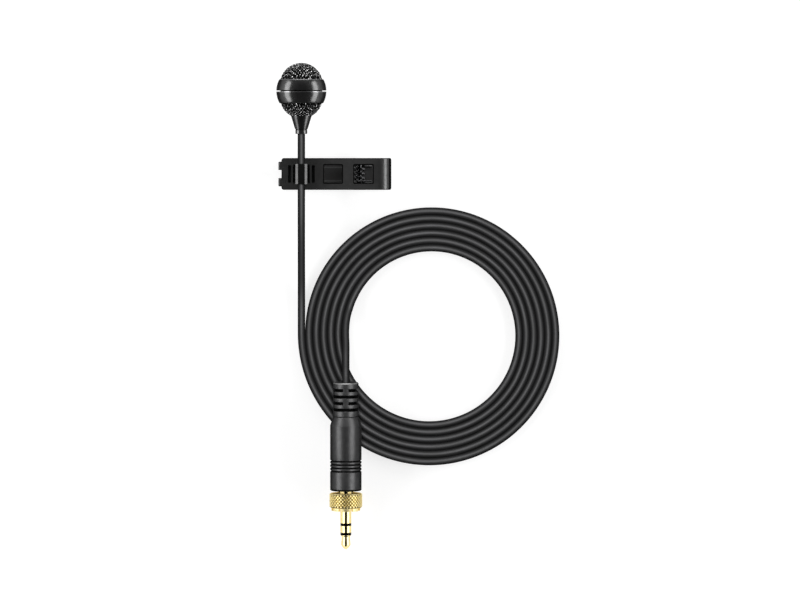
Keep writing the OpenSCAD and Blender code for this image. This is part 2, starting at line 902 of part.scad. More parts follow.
module hinge_pin() {
    color("#8d8f93")
        translate([hinge_x, clip_w / 2, hinge_h])
            rotate([90, 0, 0])
                cylinder(h = clip_w, r = hinge_pin_r);
}

// The spring's centre line: a straight leg, the turns round the hinge, and the other leg.
spring_half = spring_turns * spring_pitch / 2;
spring_route = concat(
    [[hinge_x + spring_leg, -spring_half, leg_high],
        [hinge_x + spring_leg / 2, -spring_half, (leg_high + hinge_h + spring_r) / 2]],
    [for (i = [0 : spring_turns * spring_rings])
        let (turn = i / spring_rings, a = 90 + 360 * turn)
        [hinge_x + spring_r * cos(a), turn * spring_pitch - spring_half,
            hinge_h + spring_r * sin(a)]],
    [[hinge_x + spring_leg / 2, spring_half, (leg_low + hinge_h - spring_r) / 2],
        [hinge_x + spring_leg, spring_half, leg_low]]);
spring_tube = route_rings(spring_route, wire_r, 6, 0, [0, 1, 0]);
echo(spring_least_gap = least_gap(spring_tube, spring_rings));

module torsion_spring() {
    color("#6f7175")
        ring_solid(spring_tube);
}

// An arch with a flat top and round shoulders, in front view, from the feet's underside up.
module keeper_arch(half, top, r) {
    translate([-half, foot_bottom])
        square([2 * half, top - r - foot_bottom]);
    translate([r - half, foot_bottom])
        square([2 * (half - r), top - foot_bottom]);
    for (x = [r - half, half - r])
        translate([x, top - r])
            circle(r);
}

module cable_keeper() {
    color("#202021")
        difference() {
            union() {
                across_clip(keeper_w)
                    keeper_arch(keeper_side, keeper_top, keeper_round);
                across_clip(keeper_leg_w)
                    translate([-keeper_in - keeper_foot, foot_bottom])
                        square([2 * (keeper_in + keeper_foot), keeper_t]);
            }
            across_clip(keeper_w + cut)
                translate([0, -cut])
                    keeper_arch(keeper_in, keeper_top - keeper_t + cut, keeper_round - keeper_t);
            for (side = [0, 1], end = [0, 1])
                mirror([side, 0, 0])
                    mirror([0, end, 0])
                        translate([keeper_in - cut, keeper_leg_w / 2, foot_bottom - cut])
                            cube([keeper_foot + 2 * cut, keeper_w, plate_top - foot_bottom + cut]);
        }
}

// ---- Cable --------------------------------------------------------------------------

// The coil's spiral winds inwards, anticlockwise from above, from the lead's end.
function coil_point(turn) =
    let (r = coil_x - coil_pitch * turn, a = 180 + 360 * turn)
    [coil_x + r * cos(a), coil_y + r * sin(a), cable_z];
coil_turns = coil_steps / coil_rings;
coil_last_step = cable_d / (2 * PI * (coil_x - coil_pitch * coil_turns));
coil_route = concat([[0, coil_start_y, cable_z]],
    [for (i = [0 : coil_steps]) coil_point(i / coil_rings)],
    [coil_point(coil_turns + coil_last_step)]);
coil_end = coil_route[len(coil_route) - 1];
coil_out = heading(coil_route, len(coil_route) - 1);
coil_tube = route_rings(coil_route, coil_side_r, 6, 90, [0, 0, 1]);
echo(coil_least_gap = least_gap(coil_tube, coil_rings));

module cable_lead() {
    color("#1d1d1e")
        ring_solid(route_rings(lead_route, cable_r, cable_sides, cable_side_at, [0, 0, 1]));
}

module cable_coil() {
    color("#1d1d1e")
        ring_solid(coil_tube);
}

module cable_tail() {
    route = concat([coil_end, coil_end + tail_straight * coil_out], tail_route,
        [plug_point(-cable_d), plug_point(0)]);
    color("#1d1d1e")
        ring_solid(route_rings(route, cable_r, cable_sides, cable_side_at, [0, 0, 1]));
}

// ---- Plug ---------------------------------------------------------------------------

// Slots cut into the boot leave two bridges, turned a quarter at every other slot.
module boot_slot(u, turned) {
    rotate([0, 0, turned * 90])
        translate([0, 0, u - boot_slot_w / 2])
            difference() {
                tube(0, boot_slot_w, boot_r + cut, boot_core_r);
                translate([-boot_bridge / 2, -2 * boot_r, -cut])
                    cube([boot_bridge, 4 * boot_r, boot_slot_w + 2 * cut]);
            }
}

module plug_boot() {
    flange_u = boot_l + boot_lip + seat_gap;
    color("#242425")
        on_plug()
            difference() {
                rotate_extrude()
                    difference() {
                        union() {
                            translate([0, boot_round])
                                square([boot_r, boot_l - boot_round]);
                            square([boot_r - boot_round, boot_l]);
                            translate([boot_r - boot_round, boot_round])
                                half_disc(boot_round);
                            square([spigot_r, flange_u]);
                            translate([0, flange_u])
                                square([shell_bore_r - seat_gap, boot_flange]);
                        }
                        translate([0, -cut])
                            square([cable_bore_r, flange_u + boot_flange + 2 * cut]);
                    }
                for (i = [0 : 3])
                    boot_slot(boot_slot_at + i * boot_slot_pitch, i % 2);
            }
}

module plug_shell() {
    sweep_r = (pow(shoulder_l, 2) + pow((shell_d - shoulder_d) / 2, 2)) / (shell_d - shoulder_d);
    shoulder_end = boot_l + shoulder_l;
    color("#2c2c2d")
        on_plug()
            rotate_extrude()
                difference() {
                    union() {
                        intersection() {
                            translate([shell_r - sweep_r, shoulder_end])
                                circle(sweep_r, $fn = 200);
                            translate([0, boot_l])
                                square([shell_r, shoulder_l]);
                        }
                        translate([0, shoulder_end])
                            square([shell_r, shell_end - shoulder_end - shell_round]);
                        translate([0, shoulder_end])
                            square([shell_r - shell_round, shell_end - shoulder_end]);
                        translate([shell_r - shell_round, shell_end - shell_round])
                            circle(shell_round);
                    }
                    translate([0, boot_l - cut])
                        square([spigot_r + seat_gap, boot_lip + 2 * cut]);
                    translate([0, boot_l + boot_lip])
                        square([shell_bore_r, shell_l]);
                    for (i = [0 : grip_count - 1])
                        translate([shell_r + grip_r / 4, shell_end - grip_at - i * grip_pitch])
                            circle(grip_r);
                }
}

// A diamond knurl: peaks and valleys alternate on a grid that is rolled round the axis.
module knurl() {
    columns = 2 * knurl_count;
    step = PI * ring_d / columns;
    rows = 2 * max(2, round(knurl_l / step / 2));
    root_r = ring_r - knurl_depth;
    function grid_r(i, k) =
        i == 0 || i == rows || (i + k) % 2 == 1 ? root_r : ring_r;
    rings = [for (i = [0 : rows])
        [for (k = [0 : columns - 1])
            let (a = -k * 360 / columns, r = grid_r(i, k))
            [r * cos(a), r * sin(a), knurl_at + i * knurl_l / rows]]];
    points = concat([for (ring = rings, p = ring) p],
        [[0, 0, knurl_at], [0, 0, knurl_end]]);
    bottom = len(points) - 2;
    // each square is split from valley to valley
    walls = [for (i = [0 : rows - 1], k = [0 : columns - 1])
        let (a = i * columns + k, b = i * columns + (k + 1) % columns)
        each (i + k) % 2 == 1
            ? [[a, b, b + columns], [a, b + columns, a + columns]]
            : [[a, b, a + columns], [b, b + columns, a + columns]]];
    ends = [for (k = [0 : columns - 1])
        let (next = (k + 1) % columns)
        each [[bottom, next, k],
            [bottom + 1, rows * columns + k, rows * columns + next]]];
    polyhedron(points, concat(walls, ends));
}

module lock_ring() {
    color("#d9b45a")
        on_plug()
            difference() {
                union() {
                    knurl();
                    translate([0, 0, knurl_end - ring_wall])
                        cylinder(h = rim_end - knurl_end + ring_wall, d = rim_d);
                }
                translate([0, 0, knurl_at - cut])
                    cylinder(h = ring_wall + 2 * cut, r = plug_barrel_r + run_gap);
                translate([0, 0, knurl_at + ring_wall])
                    cylinder(h = rim_end, d = ring_bore);
                for (k = [0 : rim_notches / 2 - 1])
                    rotate([0, 0, (k + 0.5) * 360 / rim_notches])
                        translate([-rim_d, -notch_w / 2, knurl_end])
                            cube([2 * rim_d, notch_w, rim_l + cut]);
            }
}

module plug_sleeve() {
    flange_end = flange_at + flange_t;
    pin_break = 0.1;
    color("#d9b45a")
        on_plug()
            rotate_extrude()
                polygon([[insulator_rear_r + snug_gap, sleeve_at], [plug_barrel_r, sleeve_at],
                    [plug_barrel_r, flange_at], [flange_d / 2, flange_at],
                    [flange_d / 2, flange_end], [boss_r, flange_end], [boss_r, pin_at],
                    [pin_r, pin_at], [pin_r, sleeve_end], [insulator_rear_r + snug_gap, sleeve_end]]);
}

// An insulator: a tube round the contact inside it, and a washer that shows on the pin.
module insulator(from, washer_at, r_out) {
    r_in = r_out - tube_wall;
    tube(from, washer_at + washer_l, r_out, r_in);
    tube(washer_at, washer_at + washer_l, pin_r, r_in);
}

module insulator_rear() {
    color("#101010")
        on_plug()
            insulator(sleeve_at - tube_step, sleeve_end, insulator_rear_r);
}

module plug_ring() {
    color("#d9b45a")
        on_plug() {
            tube(sleeve_at - 2 * tube_step, contact_end, ring_tube_r, ring_tube_r - tube_wall);
            tube(contact_at, contact_end, pin_r, ring_tube_r - tube_wall);
        }
}

module insulator_front() {
    color("#101010")
        on_plug()
            insulator(sleeve_at - 3 * tube_step, contact_end, insulator_front_r);
}

module plug_tip() {
    shoulder_r = pin_r - 0.2;
    waist_r = pin_r - 0.44;
    bulge_r = pin_r - 0.25;
    nose_r = 0.3;
    bulge_at = tip_end - 1.7;
    color("#d9b45a")
        on_plug()
            rotate_extrude()
                polygon([[0, sleeve_at - 4 * tube_step], [rod_r, sleeve_at - 4 * tube_step],
                    [rod_r, tip_at], [shoulder_r, tip_at], [shoulder_r, tip_at + 0.25],
                    [waist_r, tip_at + 0.6], [waist_r, tip_at + 1], [bulge_r, bulge_at],
                    [bulge_r, bulge_at + 0.25], [nose_r + 0.3, tip_end - 0.35],
                    [nose_r, tip_end - 0.08], [nose_r - 0.12, tip_end], [0, tip_end]]);
}

module plug_core() {
    color("#1a1a1a")
        on_plug()
            tube(core_at, core_end, core_r, plug_barrel_r + snug_gap);
}

// The sleeve's terminal: a washer behind the core, a strip, and a crimp round the cable.
module sleeve_clamp() {
    strip_w = 1.4;
    strip_y = -plug_barrel_r - crimp_t;
    crimp_r = cable_r + snug_gap + crimp_t;
    crimp_at = cable_in_plug - crimp_l - 0.5;
    washer_r = plug_barrel_r + 1;
    color("#c8c9cc")
        on_plug() {
            difference() {
                tube(sleeve_at, core_at - snug_gap, washer_r, plug_barrel_r + snug_gap);
            }
            translate([-strip_w / 2, strip_y - crimp_t, crimp_at])
                cube([strip_w, crimp_t, core_at - snug_gap - crimp_at]);
            translate([-strip_w / 2, strip_y - crimp_t, crimp_at])
                cube([strip_w, -strip_y + crimp_t - crimp_r + crimp_t / 2, crimp_t]);
            tube(crimp_at, crimp_at + crimp_l, crimp_r, cable_r + snug_gap);
        }
}

// Solder lugs: one on the ring contact's tube and one on the tip's rod.
module lug(at, r_in, tab) {
    tab_w = 1.2;
    tube(at, at + lug_t, r_in + 0.4, r_in);
    translate([-tab_w / 2, r_in + 0.2, at])
        cube([tab_w, tab, lug_t]);
}

ring_lug_at = sleeve_at - 1.5 * tube_step;
tip_lug_at = sleeve_at - 3.5 * tube_step;

module plug_terminals() {
    color("#c8c9cc")
        on_plug() {
            lug(ring_lug_at, ring_tube_r + snug_gap, 1);
            rotate([0, 0, 90])
                lug(tip_lug_at, rod_r + snug_gap, 0.8);
        }
}

module plug_wires() {
    core_r = 0.3;
    tip_wire = [[-0.6, 0, cable_in_plug], [-0.6, 0, cable_in_plug + 1],
        [-1, 0, tip_lug_at - 1], [-1, 0, tip_lug_at]];
    ring_wire = [[0, 0.7, cable_in_plug], [0, 0.8, cable_in_plug + 1],
        [0, 1.8, tip_lug_at], [0, 1.8, ring_lug_at]];
    color("#a33327")
        on_plug()
            for (route = [tip_wire, ring_wire])
                ring_solid(route_rings(route, core_r, 6, 0, [1, 0, 0]));
}

module cable_plug_end() {
    color("#1d1d1e")
        on_plug()
            cylinder(h = cable_in_plug, r = cable_r);
}

front_ring();
rear_ring();
front_grille();
rear_grille();
capsule_barrel();
capsule_seat();
capsule_can();
capsule_diaphragm();
capsule_backplate();
capsule_spacer();
capsule_board();
front_foam();
rear_foam();
neck_spider();
neck();
cable_stop();
cable_head_end();
head_wires();
front_jaw();
rear_jaw();
hinge_pin();
torsion_spring();
cable_keeper();
cable_lead();
cable_coil();
cable_tail();
plug_boot();
plug_shell();
lock_ring();
plug_sleeve();
insulator_rear();
plug_ring();
insulator_front();
plug_tip();
plug_core();
sleeve_clamp();
plug_terminals();
plug_wires();
cable_plug_end();
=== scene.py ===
import math

import bmesh
import bpy
from mathutils import Matrix, Vector
from mathutils.geometry import tessellate_polygon


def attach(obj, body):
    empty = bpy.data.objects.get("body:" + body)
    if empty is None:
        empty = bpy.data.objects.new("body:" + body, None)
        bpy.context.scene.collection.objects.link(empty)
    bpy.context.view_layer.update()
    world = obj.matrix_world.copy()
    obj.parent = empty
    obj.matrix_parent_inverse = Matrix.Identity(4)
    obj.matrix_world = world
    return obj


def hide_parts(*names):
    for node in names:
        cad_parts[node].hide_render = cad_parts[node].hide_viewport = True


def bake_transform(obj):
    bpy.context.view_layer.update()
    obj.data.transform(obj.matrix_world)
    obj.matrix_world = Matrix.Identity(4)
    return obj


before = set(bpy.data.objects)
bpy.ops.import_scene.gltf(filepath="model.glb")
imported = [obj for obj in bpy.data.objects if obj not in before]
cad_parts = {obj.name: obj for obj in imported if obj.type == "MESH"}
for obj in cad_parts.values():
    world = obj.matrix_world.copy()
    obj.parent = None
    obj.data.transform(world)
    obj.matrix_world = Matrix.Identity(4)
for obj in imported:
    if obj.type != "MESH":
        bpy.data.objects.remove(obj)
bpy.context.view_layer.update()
scene = bpy.context.scene

# ---- Table, light and camera ----------------------------------------------------------------
# The microphone lies on a white table and is seen from straight above. Two long soft boxes
# stand to its left and right and it is dark overhead, so black lacquer and gold show two
# bright bars each. The surroundings are darker towards -Y than towards +Y.


class Wire:
    """A value in a node tree. Sums and products of Wires add the tree's Math nodes."""

    def __init__(self, tree, socket=None):
        self.tree = tree
        self.socket = socket

    def make(self, kind, values=None, settings=None, stops=(), out=0):
        """Adds any other node, with its sockets' values, its own settings and a ramp's stops."""
        node = self.tree.nodes.new(kind)
        for name, setting in (settings or {}).items():
            setattr(node, name, setting)
        for i, (place, colour) in enumerate(stops):
            elements = node.color_ramp.elements
            stop = elements[i] if i < 2 else elements.new(place)
            stop.position = place
            stop.color = (*colour, 1) if isinstance(colour, tuple) else (colour, colour, colour, 1)
        for name, value in (values or {}).items():
            if isinstance(value, Wire):
                self.tree.links.new(value.socket, node.inputs[name])
            else:
                node.inputs[name].default_value = value
        return Wire(self.tree, node.outputs[out] if len(node.outputs) else None)

    def maths(self, operation, first, second=0.0):
        """Any other operation of a Math node."""
        return self.make("ShaderNodeMath", {0: first, 1: second}, {"operation": operation})

    def ramp(self, *stops):
        """The colour for this value. Each stop is a place and a colour, or one number for grey."""
        return self.make("ShaderNodeValToRGB", {"Fac": self}, stops=stops)

    def __add__(self, other):
        return self.maths("ADD", self, other)

    def __sub__(self, other):
        return self.maths("SUBTRACT", self, other)

    def __rsub__(self, other):
        return self.maths("SUBTRACT", other, self)

    def __mul__(self, other):
        return self.maths("MULTIPLY", self, other)

    def __truediv__(self, other):
        return self.maths("DIVIDE", self, other)

    def __rtruediv__(self, other):
        return self.maths("DIVIDE", other, self)

    __radd__ = __add__
    __rmul__ = __mul__


def open_material(name):
    """A material with an empty tree, and the Wire that its nodes start from."""
    material = bpy.data.materials.new(name)
    material.use_nodes = True
    material.node_tree.nodes.clear()
    return material, Wire(material.node_tree)


table_colour = (0.35, 0.35, 0.35, 1)
table_glow = 0.75
table_half, table_top = 3, -0.0001
table_white, paint = open_material("table_white")
ray = {
    kind: paint.make("ShaderNodeLightPath", out=kind)
    for kind in ("Is Camera Ray", "Is Glossy Ray", "Is Transmission Ray")
}
seen = ray["Is Camera Ray"] + ray["Is Glossy Ray"] + ray["Is Transmission Ray"]
matt = paint.make("ShaderNodeBsdfDiffuse", {"Color": table_colour})
glow = paint.make("ShaderNodeEmission", {"Strength": seen * table_glow})
both = paint.make("ShaderNodeAddShader", {0: matt, 1: glow})
paint.make("ShaderNodeOutputMaterial", {"Surface": both})

table_mesh = bpy.data.meshes.new("table")
table_mesh.from_pydata(
    [(x * table_half, y * table_half, table_top) for x, y in ((-1, -1), (1, -1), (1, 1), (-1, 1))],
    [],
    [(0, 1, 2, 3)],
)
table_mesh.materials.append(table_white)
table = bpy.data.objects.new("table", table_mesh)
scene.collection.objects.link(table)

world = bpy.data.worlds.new("studio")
scene.world = world
world.use_nodes = True
world.node_tree.nodes.clear()
sky = Wire(world.node_tree)
direction = sky.make("ShaderNodeTexCoord", out="Generated")
height = sky.make("ShaderNodeSeparateXYZ", {"Vector": direction}, out="Z")
dim = height.ramp((0.0, 0.38), (0.3, 0.36), (0.75, 0.14), (0.91, 0.02))
towards = sky.make("ShaderNodeSeparateXYZ", {"Vector": direction}, out="Y")
fall = sky.maths("MINIMUM", sky.maths("MAXIMUM", towards * 0.9 + 0.95, 0.2), 1.0)
backdrop = sky.make("ShaderNodeBackground", {"Color": dim, "Strength": fall})
sky.make("ShaderNodeOutputWorld", {"Surface": backdrop})

box_distance = 0.9
box_length = 1.5
subject = Vector((0.02, -0.04, 0.004))


def soft_box(name, tilt, width, length, watts, distance=box_distance, turn=0):
    """A soft box that faces the subject, tilted from overhead towards +X and turned about Z."""
    lamp = bpy.data.lights.new(name, "AREA")
    lamp.shape = "RECTANGLE"
    lamp.size = width
    lamp.size_y = length
    lamp.energy = watts
    box = bpy.data.objects.new(name, lamp)
    turned_to = Matrix.Rotation(math.radians(turn), 4, "Z")
    facing = turned_to @ Matrix.Rotation(math.radians(tilt), 4, "Y")
    box.matrix_world = Matrix.Translation(subject) @ facing @ Matrix.Translation((0, 0, distance))
    box.visible_camera = False
    scene.collection.objects.link(box)
    return box


low_boxes = [
    soft_box("low_box_left", -71, 0.42, box_length, 15.0),
    soft_box("low_box_right", 71, 0.42, box_length, 15.0),
]
far_box = soft_box("far_box", 74, 0.36, 0.9, 5.0, turn=90)
near_box = soft_box("near_box", 70, 0.36, 0.9, 2.5, turn=-90)
plug_boxes = [
    soft_box("plug_box_left", -54, 0.52, box_length, 16.0),
    soft_box("plug_box_right", 47, 0.52, box_length, 16.0),
    soft_box("plug_box_far", 60, 0.8, 0.9, 6.5, turn=90),
]
pin_boxes = [
    soft_box("pin_box_left", -52.5, 0.82, box_length, 8.2),
    soft_box("pin_box_right", 55.5, 0.82, box_length, 8.2),
]
cable_box = soft_box("cable_box", 10, 1.3, 0.7, 230.0, 2.0, turn=90)

# The low boxes and the far one light whatever has no boxes of its own. The boot and the shell
# have theirs and keep the far one, the pin shares its boxes with the lock ring, the cable has
# one, and the pin's insulators have none. The near one lights only the grilles.
lit = {}
for group, boxes in (
    ("low", low_boxes),
    ("far", [far_box]),
    ("grille", [near_box]),
    ("plug", plug_boxes),
    ("pin", pin_boxes),
    ("cable", [cable_box]),
    ("nothing", []),
):
    lit[group] = bpy.data.collections.new("light_" + group)
    for box in boxes:
        box.light_linking.receiver_collection = lit[group]


def light_from(piece, group):
    """Lights a piece from its own group's boxes and keeps the others off it."""
    lit[group].objects.link(piece)
    if group == "grille":
        return
    for others in ("low",) if group == "plug" else ("low", "far"):
        lit[others].objects.link(piece)
        lit[others].collection_objects[-1].light_linking.link_state = "EXCLUDE"


view_centre = Vector((0.03194, -0.04082, 0.005))
view_width = 0.25915
view_height = 6.0
lens = bpy.data.cameras.new("camera")
lens.sensor_width = 36
lens.lens = lens.sensor_width * view_height / view_width
lens.clip_start = 0.01
lens.clip_end = 20
camera = bpy.data.objects.new("camera", lens)
camera.location = view_centre + Vector((0, 0, view_height))
scene.collection.objects.link(camera)
scene.camera = camera
scene.view_settings.view_transform = "Standard"

# ---- Cable ----------------------------------------------------------------------------------
# One thin round cable with a satin black jacket, 2.4 mm across. It leaves the neck, passes
# under the clip's keeper, drops to the table, lies there in a flat coil of six turns that
# winds inwards, and rises over the coil into the plug's boot.

cable_r = 1.2
axis_z = 8.1
neck_end = Vector((0, 13.4, axis_z))
lead_points = [neck_end]
lead_points += [(0, y, axis_z) for y in (9, 4, -1, -6, -10)]
lead_points += [(0, -13, 8.05), (0, -16, 7.85), (0, -20, 7.1), (0, -24, 5.95), (0, -28, 4.6)]
lead_points += [(0, -32, 3.3), (0, -36, 2.15), (0, -40, 1.4)]
lead_points += [(0, -44, 1.15), (0, -47, 1.15), (0, -49.5, 1.15)]
coil_centre = Vector((41.8, -52, 1.15))
coil_pitch = 2.38
coil_turns = 142 / 24
tail_points = [(16.35, -41.1, 1.2), (15.52, -43.5, 1.4), (14.74, -46.3, 2.45)]
tail_points += [(14.37, -49.1, 3.5), (14.28, -52, 4.65), (14.4, -55, 5.9)]
tail_points += [(14.4, -58, 7.1), (14.4, -61, 8.0)]

# The plug rests on its ring in front and, over the coil's outer turn, on its shell.
coil_cable, shell_rests_r, rest_gap, rest_at = 2.3, 5, 0.1, 16.4
ring_r, knurl_end = 5.3, 40.6
plug_tilt = math.asin((coil_cable + shell_rests_r + rest_gap - ring_r) / (knurl_end - rest_at))
boot_end_z = ring_r * math.cos(plug_tilt) + knurl_end * math.sin(plug_tilt)
boot_end = Vector((14.4, -67.6, boot_end_z))
plug_axis = Vector((0, -math.cos(plug_tilt), -math.sin(plug_tilt)))


def smooth_route(points, spacing):
    """Points at about that spacing on a smooth curve through the given ones."""
    points = [Vector(p) for p in points]
    gaps = [(b - a).length for a, b in zip(points, points[1:])]
    slopes = []
    for i in range(len(points)):
        if i == 0:
            slopes.append((points[1] - points[0]) / gaps[0])
        elif i == len(points) - 1:
            slopes.append((points[i] - points[i - 1]) / gaps[-1])
        else:
            back = (points[i] - points[i - 1]) / gaps[i - 1]
            on = (points[i + 1] - points[i]) / gaps[i]
            slopes.append((back * gaps[i] + on * gaps[i - 1]) / (gaps[i] + gaps[i - 1]))
    route = []
    for i, gap in enumerate(gaps):
        steps = max(1, round(gap / spacing))
        for k in range(steps):
            t = k / steps
            route.append(
                points[i] * (2 * t**3 - 3 * t**2 + 1)
                + slopes[i] * (gap * (t**3 - 2 * t**2 + t))
                + points[i + 1] * (3 * t**2 - 2 * t**3)
                + slopes[i + 1] * (gap * (t**3 - t**2))
            )
    return route + [points[-1]]


def coil_point(turn):
    """A place on the coil, which starts at the lead and winds inwards and anticlockwise."""
    r = coil_centre.x - coil_pitch * turn
    a = math.pi * (1 + 2 * turn)
    return coil_centre + Vector((r * math.cos(a), r * math.sin(a), 0))


def tube_along(route, radius, sides):
    """A round tube along a route, closed at both ends, with its length as the UV map's V."""
    count = len(route)
    headings = [
        (route[min(i + 1, count - 1)] - route[max(i - 1, 0)]).normalized() for i in range(count)
    ]
    across = headings[0].orthogonal().normalized()
    angles = [2 * math.pi * k / sides for k in range(sides)]
    bm = bmesh.new()
    uv = bm.loops.layers.uv.new("UVMap")
    rings, along, travelled = [], [], 0.0
    for i, (centre, ahead) in enumerate(zip(route, headings)):
        across = (across - ahead * across.dot(ahead)).normalized()
        up = ahead.cross(across)
        if i:
            travelled += (centre - route[i - 1]).length
        along.append(travelled * 0.001)
        spots = [
            centre + across * (radius * math.cos(a)) + up * (radius * math.sin(a)) for a in angles
        ]
        rings.append([bm.verts.new(spot) for spot in spots])
    for i in range(count - 1):
        for k in range(sides):
            j = (k + 1) % sides
            face = bm.faces.new((rings[i][k], rings[i][j], rings[i + 1][j], rings[i + 1][k]))
            face.smooth = True
            corners = ((k, i), (k + 1, i), (k + 1, i + 1), (k, i + 1))
            for loop, (u, v) in zip(face.loops, corners):
                loop[uv].uv = (u / sides, along[v])
    bm.faces.new(list(reversed(rings[0])))
    bm.faces.new(rings[-1])
    bmesh.ops.recalc_face_normals(bm, faces=bm.faces)
    return bm


def piece_from(name, bm, material, sharp=35):
    """A finished piece from a mesh in millimetres, with edges over that angle kept sharp.

    The material may be a list, for a mesh whose faces are numbered by finish.
    """
    bmesh.ops.scale(bm, vec=(0.001, 0.001, 0.001), verts=bm.verts)
    for face in bm.faces:
        face.smooth = True
    for edge in bm.edges:
        if len(edge.link_faces) == 2:
            edge.smooth = edge.calc_face_angle(0) < math.radians(sharp)
    mesh = bpy.data.meshes.new(name)
    bm.to_mesh(mesh)
    bm.free()
    for finish in material if isinstance(material, list) else [material]:
        mesh.materials.append(finish)
    piece = bpy.data.objects.new(name, mesh)
    scene.collection.objects.link(piece)
    return piece


dark_edge = {"Specular Tint": (0, 0, 0, 1), "Specular IOR Level": 0.0}


def close_material(start, tone, roughness, metallic=0.0, normal=None, others=None):
    """Ends a material in one Principled shader. The others are any further sockets' values."""
    sockets = {"Base Color": tone, "Roughness": roughness, "Metallic": metallic}
    if normal:
        sockets["Normal"] = normal
    shader = start.make("ShaderNodeBsdfPrincipled", sockets | (others or {}))
    start.make("ShaderNodeOutputMaterial", {"Surface": shader})


def grain(start, place, size, detail=2.0):
    """Fine noise with grains of about that size in millimetres, from 0 to 1."""
    values = {"Vector": place, "Scale": 1000 / size, "Detail": detail, "Roughness": 0.55}
    return start.make("ShaderNodeTexNoise", values)


def bumps(start, heights, depth):
    """A normal from heights of 0 to 1, that deep in millimetres."""
    values = {"Strength": 1.0, "Distance": depth * 0.001, "Height": heights}
    return start.make("ShaderNodeBump", values)


def open_finish(name):
    """A material with an empty tree, its first Wire, and the place on the object."""
    material, start = open_material(name)
    return material, start, start.make("ShaderNodeTexCoord", out="Object")


jacket, paint, place = open_finish("jacket_satin_black")
unrolled = paint.make("ShaderNodeTexCoord", out="UV")
drawn = paint.make("ShaderNodeMapping", {"Vector": unrolled, "Scale": (14, 90, 1)})
streaks = paint.make("ShaderNodeTexNoise", {"Vector": drawn, "Scale": 1.0, "Detail": 3.0})
skin = grain(paint, place, 0.25)
shade = streaks.ramp((0.3, 0.011), (0.7, (0.0155, 0.0155, 0.016)))
dimples = bumps(paint, skin * 0.7 + streaks * 0.3, 0.01)
close_material(paint, shade, 0.55 + 0.1 * skin, 0.9, dimples, dark_edge)

turn_steps, before_boot, inside_boot = 180, 2.3, 1.5
cable_route = smooth_route(lead_points, 1.0)
cable_route += [coil_point(i / turn_steps) for i in range(round(coil_turns * turn_steps) + 1)]
tail_points = [coil_point(coil_turns), *tail_points, boot_end - plug_axis * before_boot]
tail_points += [boot_end, boot_end + plug_axis * inside_boot]
cable_route += smooth_route(tail_points, 0.8)[1:]
cable_length = sum((b - a).length for a, b in zip(cable_route, cable_route[1:])) * 0.001
cable = piece_from("cable", tube_along(cable_route, cable_r, 24), jacket)
light_from(cable, "cable")
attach(cable, "microphone")
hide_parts("cable_lead", "cable_coil", "cable_tail")

# ---- Clamp rings ----------------------------------------------------------------------------
# Two turned brass rings in black lacquer make a ball 16.2 mm across with a groove round its
# middle. Each lip is rounded and holds down the edge of a grille.

groove_y = 26.8456
ball_r = 8.1
on_head = Matrix.Translation((0, groove_y, axis_z)) @ Matrix.Rotation(-math.pi / 2, 4, "X")


def arc(centre, radius, start, end, steps):
    """Points on an arc between two angles in degrees."""
    x, y = centre
    angles = [math.radians(start + (end - start) * i / steps) for i in range(steps + 1)]
    return [(x + radius * math.cos(a), y + radius * math.sin(a)) for a in angles]


def turned(outline, place, steps=160):
    """A turned part: a closed outline of (radius, station) carried round the axis."""
    bm = bmesh.new()
    columns = []
    for k in range(steps):
        a = 2 * math.pi * k / steps
        spots = [place @ Vector((r * math.cos(a), r * math.sin(a), s)) for r, s in outline]
        columns.append([bm.verts.new(spot) for spot in spots])
    for k, here in enumerate(columns):
        there = columns[(k + 1) % steps]
        for i, (r, _) in enumerate(outline):
            j = (i + 1) % len(outline)
            if max(r, outline[j][0]) > 1e-6:
                bm.faces.new((here[i], there[i], there[j], here[j]))
    bmesh.ops.remove_doubles(bm, verts=bm.verts, dist=1e-4)
    bmesh.ops.recalc_face_normals(bm, faces=bm.faces)
    return bm


def mixed(start, share, here, there):
    """A colour between two, by a share of 0 to 1."""
    values = {0: share, 6: here, 7: there}
    return start.make("ShaderNodeMix", values, {"data_type": "RGBA"}, out=2)


def ring_outline(length, dome_at):
    """The section of a clamp ring whose lip is that far from the groove's edge."""
    edge, bore, lip_round = 0.19, 6.85, 0.4
    lip = edge + length
    round_at = lip - lip_round
    round_r = math.sqrt((ball_r - lip_round) ** 2 - round_at**2)
    low = math.degrees(math.asin((edge + 0.1) / ball_r))
    high = math.degrees(math.atan2(round_at, round_r))
    inner = math.degrees(math.asin((lip - dome_at) / bore))
    return (
        [(bore, edge), (ball_r - 0.1, edge), (ball_r - 0.03, edge + 0.03)]
        + arc((0, 0), ball_r, low, high, 24)
        + arc((round_r, round_at), lip_round, high, 90, 6)[1:]
        + arc((0, dome_at), bore, inner, 0, 6)
    )


def lacquered(name, dark, light, roughness, painted_highlight_at=None):
    """Black lacquer over metal, with a faint orange peel and fine dust in it.

    One edge may carry a painted highlight: a pale band at that station along Y.
    """
    material, start, spot = open_finish(name)
    peel = grain(start, spot, 0.7, 1.0)
    dust = grain(start, spot, 0.12)
    tone = grain(start, spot, 1.6).ramp((0.35, dark), (0.65, light))
    if painted_highlight_at:
        station = start.make("ShaderNodeSeparateXYZ", {"Vector": spot}, out="Y") * 1000
        off = start.maths("ABSOLUTE", station - painted_highlight_at)
        # Painted highlight: the band round one edge is mixed towards pale grey.
        edge = start.maths("MAXIMUM", 1 - off / 0.13, 0) * (0.4 + 0.6 * dust)
        tone = mixed(start, edge, tone, (0.42, 0.42, 0.43, 1))
    relief = bumps(start, peel * 0.6 + dust * 0.4, 0.004)
    close_material(start, tone, roughness + 0.1 * dust, 0.85, relief, dark_edge)
    return material


